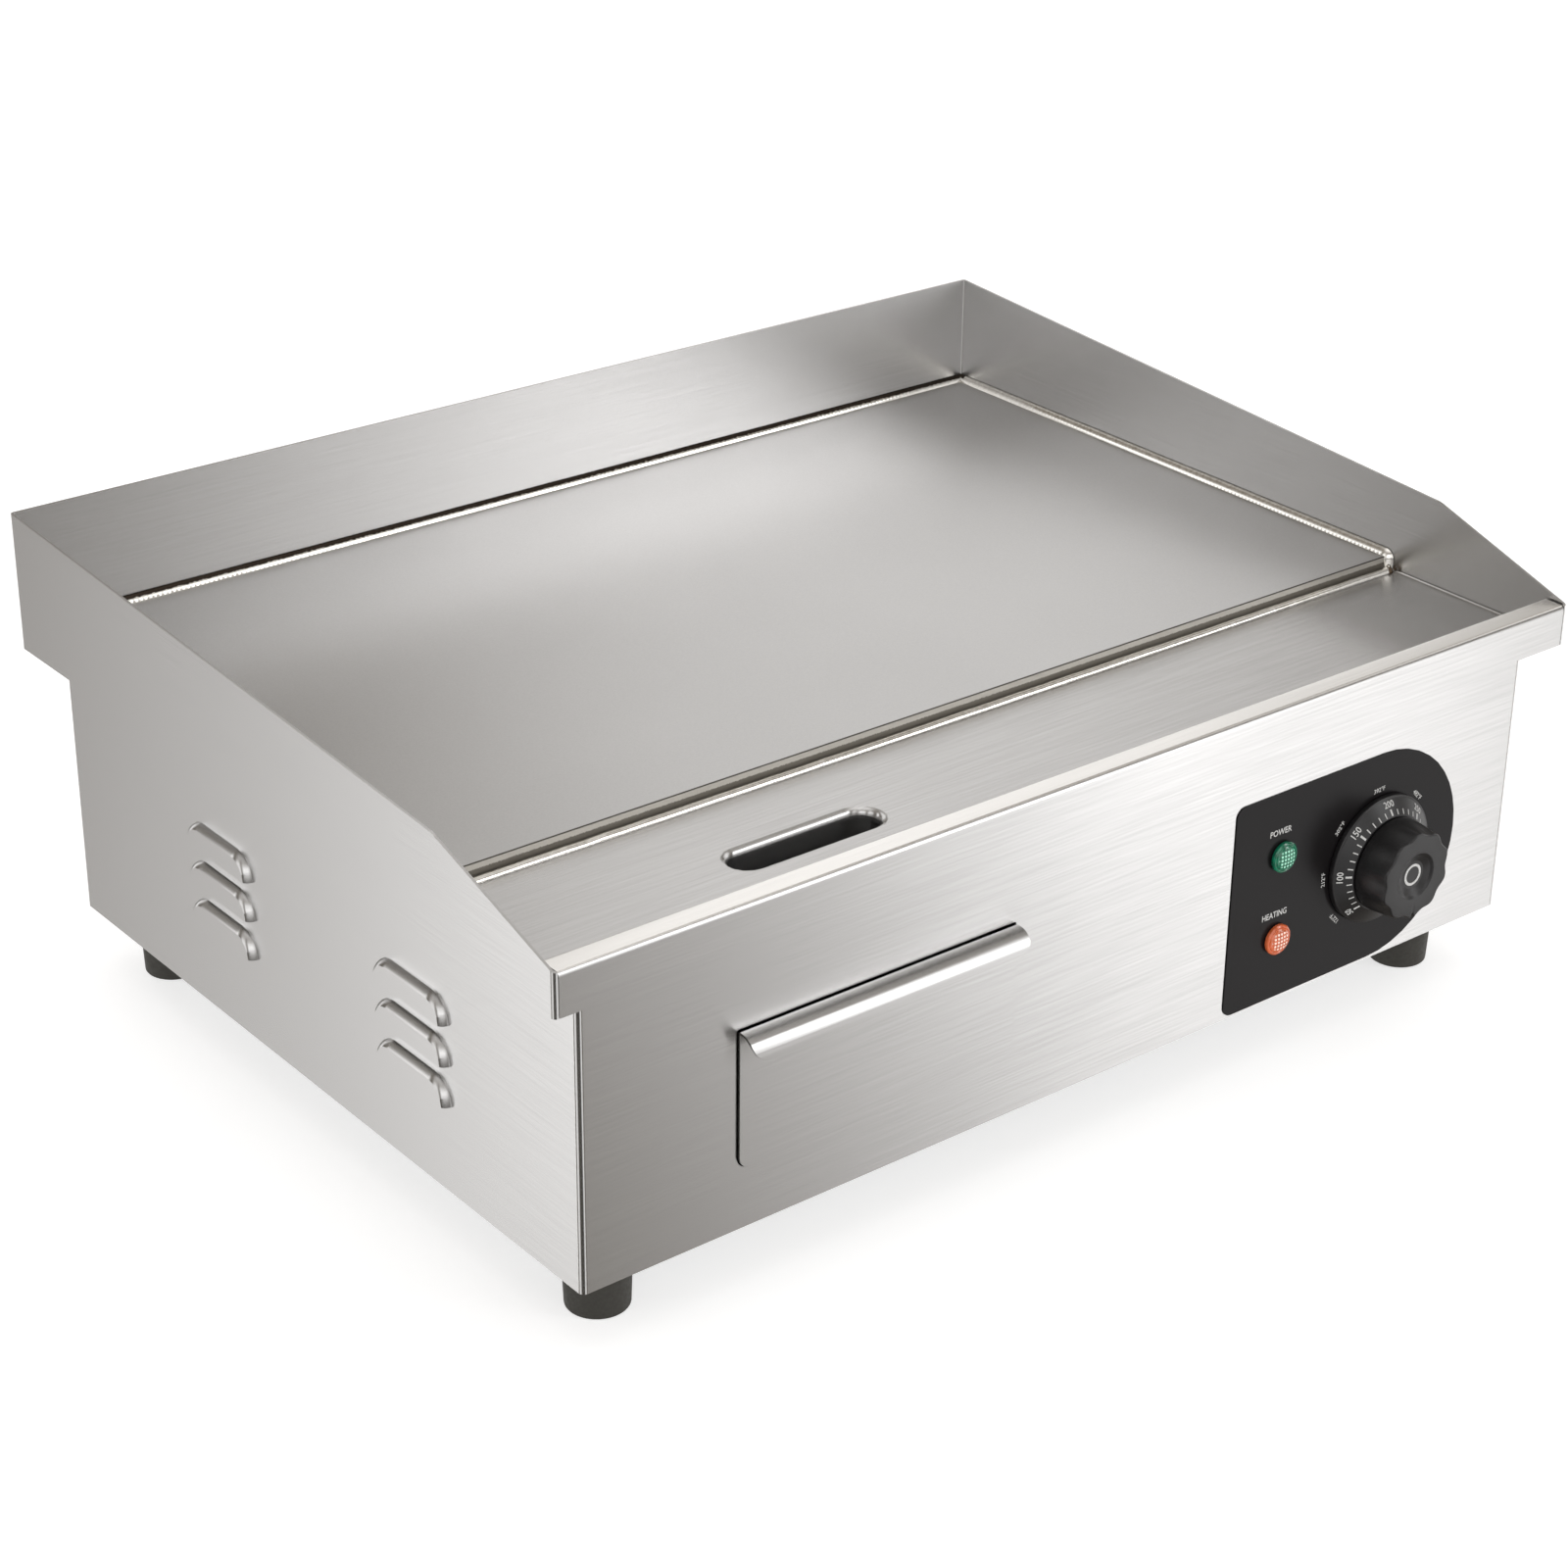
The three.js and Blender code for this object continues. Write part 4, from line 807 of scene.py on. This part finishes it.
class GRIDDLE_OT_dial(bpy.types.Operator):
    """Builds the overlay, the dial ring with its scale, the knob and the lettering"""

    bl_idname = "griddle.dial"
    bl_label = "Dial and knob"

    def execute(self, context):
        formed("control_overlay", material_for("membrane"), width=0.1 * MM)
        self.case_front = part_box("control_overlay")[1].y + 0.1 * MM
        middle = centre_of("dial_bezel")
        self.centre = (middle.x, self.case_front, middle.z)
        self.ring()
        self.scale()
        self.labels()
        self.knob()
        return {"FINISHED"}

    def ring(self):
        """A low upright rim and a cone rising to the knob, turned about the spindle's axis."""
        profile = rounded([
            (12 * MM, 0.8 * MM), (30.5 * MM, 0.8 * MM), (30.5 * MM, 3.4 * MM), CONE_FOOT,
            CONE_TOP, (12 * MM, 8.3 * MM), (12 * MM, 0.8 * MM),
        ], 0.5 * MM, 4)
        mesh = surface("dial_ring", to_front(spun(profile, 128), self.centre))
        piece("dial_ring", mesh, material_for("black_plastic"), "case", ("dial_bezel",))

    def on_cone(self, points, radius, angle):
        """Flat (right, up) points laid on the cone at a radius and an angle, tops outwards."""
        (foot, low), (top, high) = CONE_FOOT, CONE_TOP
        slope = math.atan2(high - low, foot - top)
        outward = np.array([math.cos(angle), math.sin(angle), 0])
        side = np.array([math.sin(angle), -math.cos(angle), 0])
        rise = outward * math.cos(slope) - np.array([0, 0, math.sin(slope)])
        height = low + (foot - radius) * math.tan(slope) + INK_RISE
        origin = outward * radius + np.array([0, 0, height])
        return origin + points[:, :1] * side + points[:, 1:2] * rise

    def scale(self):
        """Ticks every 10 degrees Celsius, a broad one and a number every 50, laid on the cone. The first is
        at the lower left, and each degree of heat takes a fixed part of a degree of turn."""
        coolest, hottest = 50, 300
        first_angle, turn_each = 225, 0.9
        parts = []
        for degrees in range(coolest, hottest + 1, 10):
            angle = math.radians(first_angle - (degrees - coolest) * turn_each)
            major = degrees % 50 == 0
            half = (0.5 if major else 0.27) * MM
            inner, outer = 22.9 * MM, (25.9 if major else 25.4) * MM
            tick = np.array([(-half, inner), (half, inner), (half, outer), (-half, outer)])
            tick[:, 1] -= (inner + outer) / 2
            parts.append((self.on_cone(tick, (inner + outer) / 2, angle), [[0, 1, 2, 3]]))
            if major:
                points, faces = text_mesh(str(degrees), 3.0 * MM)
                parts.append((self.on_cone(points, 27.7 * MM, angle), faces))
        mesh = joined("dial_scale", [(to_front(points, self.centre), faces) for points, faces in parts])
        piece("dial_scale", mesh, shared("ink", screen_ink), "case", ())

    def labels(self):
        """Fahrenheit values round the ring and a word above each lamp, printed on the overlay."""
        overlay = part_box("control_overlay")[0].y - 0.03 * MM
        parts = []
        values = (("122°F", 224), ("212°F", 182), ("302°F", 139.5), ("392°F", 93), ("482°F", 44.5))
        for words, degrees in values:
            points, faces = text_mesh(words, 2.3 * MM)
            angle = math.radians(degrees)
            turn = angle - math.pi / 2
            right, up = points[:, 0], points[:, 1]
            x = right * math.cos(turn) - up * math.sin(turn) + VALUES_RADIUS * math.cos(angle)
            z = right * math.sin(turn) + up * math.cos(turn) + VALUES_RADIUS * math.sin(angle)
            parts.append((np.stack([self.centre[0] + x, 0 * x + overlay, self.centre[2] + z], -1), faces))
        for words, lamp, width in (("POWER", "power", 13 * MM), ("HEATING", "heating", 15 * MM)):
            points, faces = text_mesh(words, 3.0 * MM, width)
            lens = centre_of(lamp + "_lamp_lens")
            x, z = points[:, 0] + lens.x - 2 * MM, points[:, 1] + lens.z + 12.4 * MM
            parts.append((np.stack([x, 0 * x + overlay, z], -1), faces))
        mesh = joined("overlay_lettering", parts)
        piece("overlay_lettering", mesh, shared("ink", screen_ink), "case", ())

    def knob(self):
        """Turned body whose radius loses a cosine scallop, full at the face and fading to the skirt, and a
        narrow pointer notch at the foot of the face."""
        sizes, _ = settings()
        face = self.case_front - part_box("control_knob")[0].y

        def wave(radius, height, angle):
            """How far the side is drawn in at a radius, a height and an angle."""
            depth = np.clip((height - 11 * MM) / (face - 13 * MM), 0, 1) ** 1.5 * (radius > 14 * MM)
            hollow = 0.5 - 0.5 * np.cos(sizes.scallops * (angle + math.radians(90)))
            away = np.abs(np.angle(np.exp(1j * (angle + math.pi / 2))))
            notch = 2.2 * MM * np.exp(-(away * radius / (0.9 * MM)) ** 4) * (height > face - 6 * MM)
            return depth * (sizes.scallop_depth * hollow + notch)

        profile = rounded([
            (0, 17 * MM), (3.2 * MM, 17 * MM), (3.2 * MM, 4 * MM), (7 * MM, 4 * MM), (7 * MM, 8.6 * MM),
            (22.2 * MM, 8.6 * MM), (21.9 * MM, 13 * MM), (20.7 * MM, face), (11 * MM, face),
            (9.8 * MM, face - 0.9 * MM), (6.7 * MM, face - 2.1 * MM), (0, face - 2.5 * MM),
        ], 0.9 * MM, 6)
        side = (profile[:, 0] > 18 * MM) & (profile[:, 1] > 9 * MM)
        first, last = np.flatnonzero(side)[[0, -1]]
        dense = np.arange(first, last + 1e-9, 0.25)
        span = np.stack([np.interp(dense, np.arange(len(profile)), profile[:, k]) for k in (0, 1)], -1)
        profile = np.concatenate([profile[:first], span, profile[last + 1:]])
        mesh = surface("knob", to_front(spun(profile, 400, wave), self.centre), sharp=50.0)
        piece("knob", mesh, material_for("black_plastic"), "knob", ("control_knob",))
        turn = np.linspace(0, 2 * np.pi, 64, endpoint=False)
        radii = np.array([3.9, 4.0, 5.2, 5.3, 3.9]) * MM
        heights = face - 2.3 * MM + np.array([-0.4, 0.15, 0.15, -0.4, -0.4]) * MM
        ring = np.stack([
            radii[:, None] * np.cos(turn), radii[:, None] * np.sin(turn), heights[:, None] + 0 * turn,
        ], -1)
        mesh = surface("knob_ring", to_front(ring, self.centre))
        piece("knob_ring", mesh, shared("ink", screen_ink), "knob", ())


class GRIDDLE_OT_lamps(bpy.types.Operator):
    """Builds the two faceted indicator lenses"""

    bl_idname = "griddle.lamps"
    bl_label = "Lamps"

    def execute(self, context):
        for name, slot in (("power", "green_lens"), ("heating", "orange_lens")):
            self.lens(name, slot)
        return {"FINISHED"}

    def lens(self, name, slot):
        """A collar and a shallow dome; small round domes on a square lattice stand on the dome."""
        sizes, _ = settings()
        node = name + "_lamp_lens"
        low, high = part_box(node)
        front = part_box("control_overlay")[1].y + 0.1 * MM
        centre = ((low.x + high.x) / 2, front, (low.z + high.z) / 2)
        outer = 0.9 * (high.x - low.x) / 2
        collar = rounded([
            (0, 0.8 * MM), (outer, 0.8 * MM), (outer, 2.4 * MM), (outer - 0.9 * MM, 3.0 * MM),
            (outer - 1.3 * MM, 2.7 * MM),
        ], 0.4 * MM, 4)
        reach = outer - 1.3 * MM
        radius = np.linspace(reach, 0, 60)[1:]
        dome = np.stack([radius, 2.7 * MM + 1.3 * MM * np.sqrt(np.clip(1 - (radius / reach) ** 2, 0, 1))], -1)
        points = spun(np.concatenate([collar, dome]), 144)
        u, v = points[..., 0], points[..., 1]
        pitch = sizes.facet_pitch
        du, dv = u - np.round(u / pitch) * pitch, v - np.round(v / pitch) * pitch
        bump = np.sqrt(np.clip(1 - (du ** 2 + dv ** 2) / (0.48 * pitch) ** 2, 0, 1)) * 0.45 * MM
        on_dome = np.arange(len(points))[:, None] >= len(collar)
        inside = np.hypot(u, v) < LENS_REACH
        points[..., 2] += bump * on_dome * inside
        mesh = surface(node + "_faceted", to_front(points, centre), sharp=60.0)
        piece(node + "_faceted", mesh, material_for(slot), "case", (node,))


class GRIDDLE_OT_fittings(bpy.types.Operator):
    """Gives the fasteners, the cable gland and every inner part its finish"""

    bl_idname = "griddle.fittings"
    bl_label = "Fittings and inner parts"

    def execute(self, context):
        for node in ("cable_gland", *(f"rear_panel_screw_{i}" for i in range(1, 5))):
            slot = next(row["material_slot"] for row in frame["record"]["subparts"] if row["node"] == node)
            formed(node, material_for(slot), width=0.15 * MM)
        for row in frame["record"]["subparts"]:
            node = frame["nodes"][row["node"]]
            if not node.hide_render:
                node.data.materials.clear()
                node.data.materials.append(material_for(row["material_slot"]))
        return {"FINISHED"}


# ------------------------------------------------------------------ stage
class GRIDDLE_OT_stage(bpy.types.Operator):
    """Sets up the pale floor, the soft studio light and the camera"""

    bl_idname = "griddle.stage"
    bl_label = "Stage"

    def execute(self, context):
        self.floor()
        self.light()
        self.camera()
        context.scene.view_settings.view_transform = "Standard"
        return {"FINISHED"}

    def floor(self):
        """A wide pale sweep under the griddle."""
        _, finishes = settings()
        reach = 60.0
        corners = [(-reach, -reach, 0), (reach, -reach, 0), (reach, reach, 0), (-reach, reach, 0)]
        mesh = bpy.data.meshes.new("floor")
        mesh.from_pydata(corners, [], [(0, 1, 2, 3)])
        material, tree, shader = new_material("floor_paper")
        fibre = noise(tree, object_place(tree), 300.0, 2.0)
        colour = blend(tree, fibre, linear("#C9C9C9"), linear(finishes.floor))
        tree.links.new(colour, shader.inputs["Base Color"])
        tree.links.new(colour, shader.inputs["Emission Color"])
        # The sweep is lit from below as well, which keeps the shadows pale.
        shader.inputs["Emission Strength"].default_value = 1.08
        shader.inputs["Roughness"].default_value = 0.8
        made = bpy.data.objects.new("floor", mesh)
        mesh.materials.append(material)
        bpy.context.scene.collection.objects.link(made)
        # Steel reflects the studio panels below the horizon, not the floor.
        made.visible_glossy = False

    def light(self):
        """A dim surround that is darker low down behind the camera and brighter overhead, and soft upright
        panels round the griddle. A panel's brightness is a smooth window in azimuth times one in height."""
        world = bpy.data.worlds.new("studio")
        bpy.context.scene.world = world
        world.use_nodes = True
        tree = world.node_tree
        tree.nodes.clear()
        way = add_node(tree, "ShaderNodeTexCoord").outputs["Generated"]
        level = vector_maths(tree, "NORMALIZE", vector_maths(tree, "MULTIPLY", way, (1, 1, 0)))
        rise = add_node(tree, "ShaderNodeSeparateXYZ", {"Vector": way}).outputs["Z"]

        def window(value, start, end, low=0.0, high=1.0):
            """A smooth step from low to high."""
            return fade(tree, value, start, end, low, high, interpolation_type="SMOOTHSTEP")

        def facing(azimuth):
            """Cosine of the level angle between a direction and an azimuth."""
            aim = (math.sin(math.radians(azimuth)), math.cos(math.radians(azimuth)), 0)
            return vector_maths(tree, "DOT_PRODUCT", level, aim, output="Value")

        panels = window(rise, 0.75, 1.0, 0.0, CEILING)
        for azimuth, half_width, lowest, highest, strength in SOFTBOXES:
            outside = math.cos(math.radians(1.6 * half_width))
            inside = math.cos(math.radians(0.4 * half_width))
            across = window(facing(azimuth), outside, inside, 0.0, strength)
            foot = window(rise, lowest - SOFT_EDGE, lowest + SOFT_EDGE)
            head = window(rise, highest - SOFT_EDGE, highest + SOFT_EDGE, 1.0, 0.0)
            panels = maths(tree, "MULTIPLY_ADD", maths(tree, "MULTIPLY", across, foot), head, panels)
        behind = window(facing(DARK_SIDE), 0.75, 0.95)
        behind = maths(tree, "MULTIPLY", behind, window(rise, -0.15, 0.1, 1.0, 0.0))
        around = maths(tree, "MULTIPLY_ADD", behind, BEHIND - SURROUND, SURROUND)
        around = maths(tree, "ADD", window(rise, 0.2, 1.0, 0.0, OVERHEAD), around)
        room = add_node(tree, "ShaderNodeBackground", {"Color": linear("#FFF3E2"), "Strength": around})
        lamps = add_node(tree, "ShaderNodeBackground", {"Color": linear("#FCFDFF"), "Strength": panels})
        both = add_node(tree, "ShaderNodeAddShader", {0: room.outputs[0], 1: lamps.outputs[0]})
        add_node(tree, "ShaderNodeOutputWorld", {"Surface": both.outputs[0]})

    def camera(self):
        """The camera at its place, turned by azimuth, downward tilt and roll."""
        data = bpy.data.cameras.new("camera")
        data.lens = CAMERA_LENS
        data.sensor_width = SENSOR
        data.clip_start, data.clip_end = 0.05, 50
        made = bpy.data.objects.new("camera", data)
        bpy.context.scene.collection.objects.link(made)
        sin_a, cos_a = math.sin(CAMERA_AZIMUTH), math.cos(CAMERA_AZIMUTH)
        ahead = Vector((sin_a * math.cos(CAMERA_DOWN), cos_a * math.cos(CAMERA_DOWN), -math.sin(CAMERA_DOWN)))
        level = Vector((cos_a, -sin_a, 0))
        up = level.cross(ahead)
        right = math.cos(CAMERA_ROLL) * level + math.sin(CAMERA_ROLL) * up
        top = math.cos(CAMERA_ROLL) * up - math.sin(CAMERA_ROLL) * level
        turn = Matrix((right, top, -ahead)).transposed().to_4x4()
        made.matrix_world = Matrix.Translation(CAMERA_PLACE) @ turn
        bpy.context.scene.camera = made


class GRIDDLE_PT_panel(bpy.types.Panel):
    """Lists the griddle's pieces and settings"""

    bl_label = "Electric Griddle"
    bl_idname = "GRIDDLE_PT_panel"
    bl_space_type = "VIEW_3D"
    bl_region_type = "UI"
    bl_category = "Griddle"

    def draw(self, context):
        layout = self.layout
        for operator in OPERATORS:
            layout.operator(operator.bl_idname)
        for group in (context.scene.griddle_sizes, context.scene.griddle_finishes):
            box = layout.box()
            for key in group.__annotations__:
                box.prop(group, key)


OPERATORS = (
    GRIDDLE_OT_case,
    GRIDDLE_OT_guard,
    GRIDDLE_OT_plate,
    GRIDDLE_OT_feet,
    GRIDDLE_OT_dial,
    GRIDDLE_OT_lamps,
    GRIDDLE_OT_fittings,
    GRIDDLE_OT_stage,
)
CLASSES = (GriddleFinishes, GriddleSizes, *OPERATORS, GRIDDLE_PT_panel)


def register():
    """Registers the settings, the operators and the panel."""
    for cls in CLASSES:
        bpy.utils.register_class(cls)
    bpy.types.Scene.griddle_sizes = bpy.props.PointerProperty(type=GriddleSizes)
    bpy.types.Scene.griddle_finishes = bpy.props.PointerProperty(type=GriddleFinishes)


def unregister():
    """Takes the classes and the settings away again, in the opposite order."""
    del bpy.types.Scene.griddle_finishes
    del bpy.types.Scene.griddle_sizes
    for cls in reversed(CLASSES):
        bpy.utils.unregister_class(cls)


def main():
    """Registers the settings, the operators and the panel, then builds every piece and then the stage."""
    register()
    for operator in OPERATORS:
        group, name = operator.bl_idname.split(".")
        getattr(getattr(bpy.ops, group), name)()


if __name__ == "__main__":
    main()
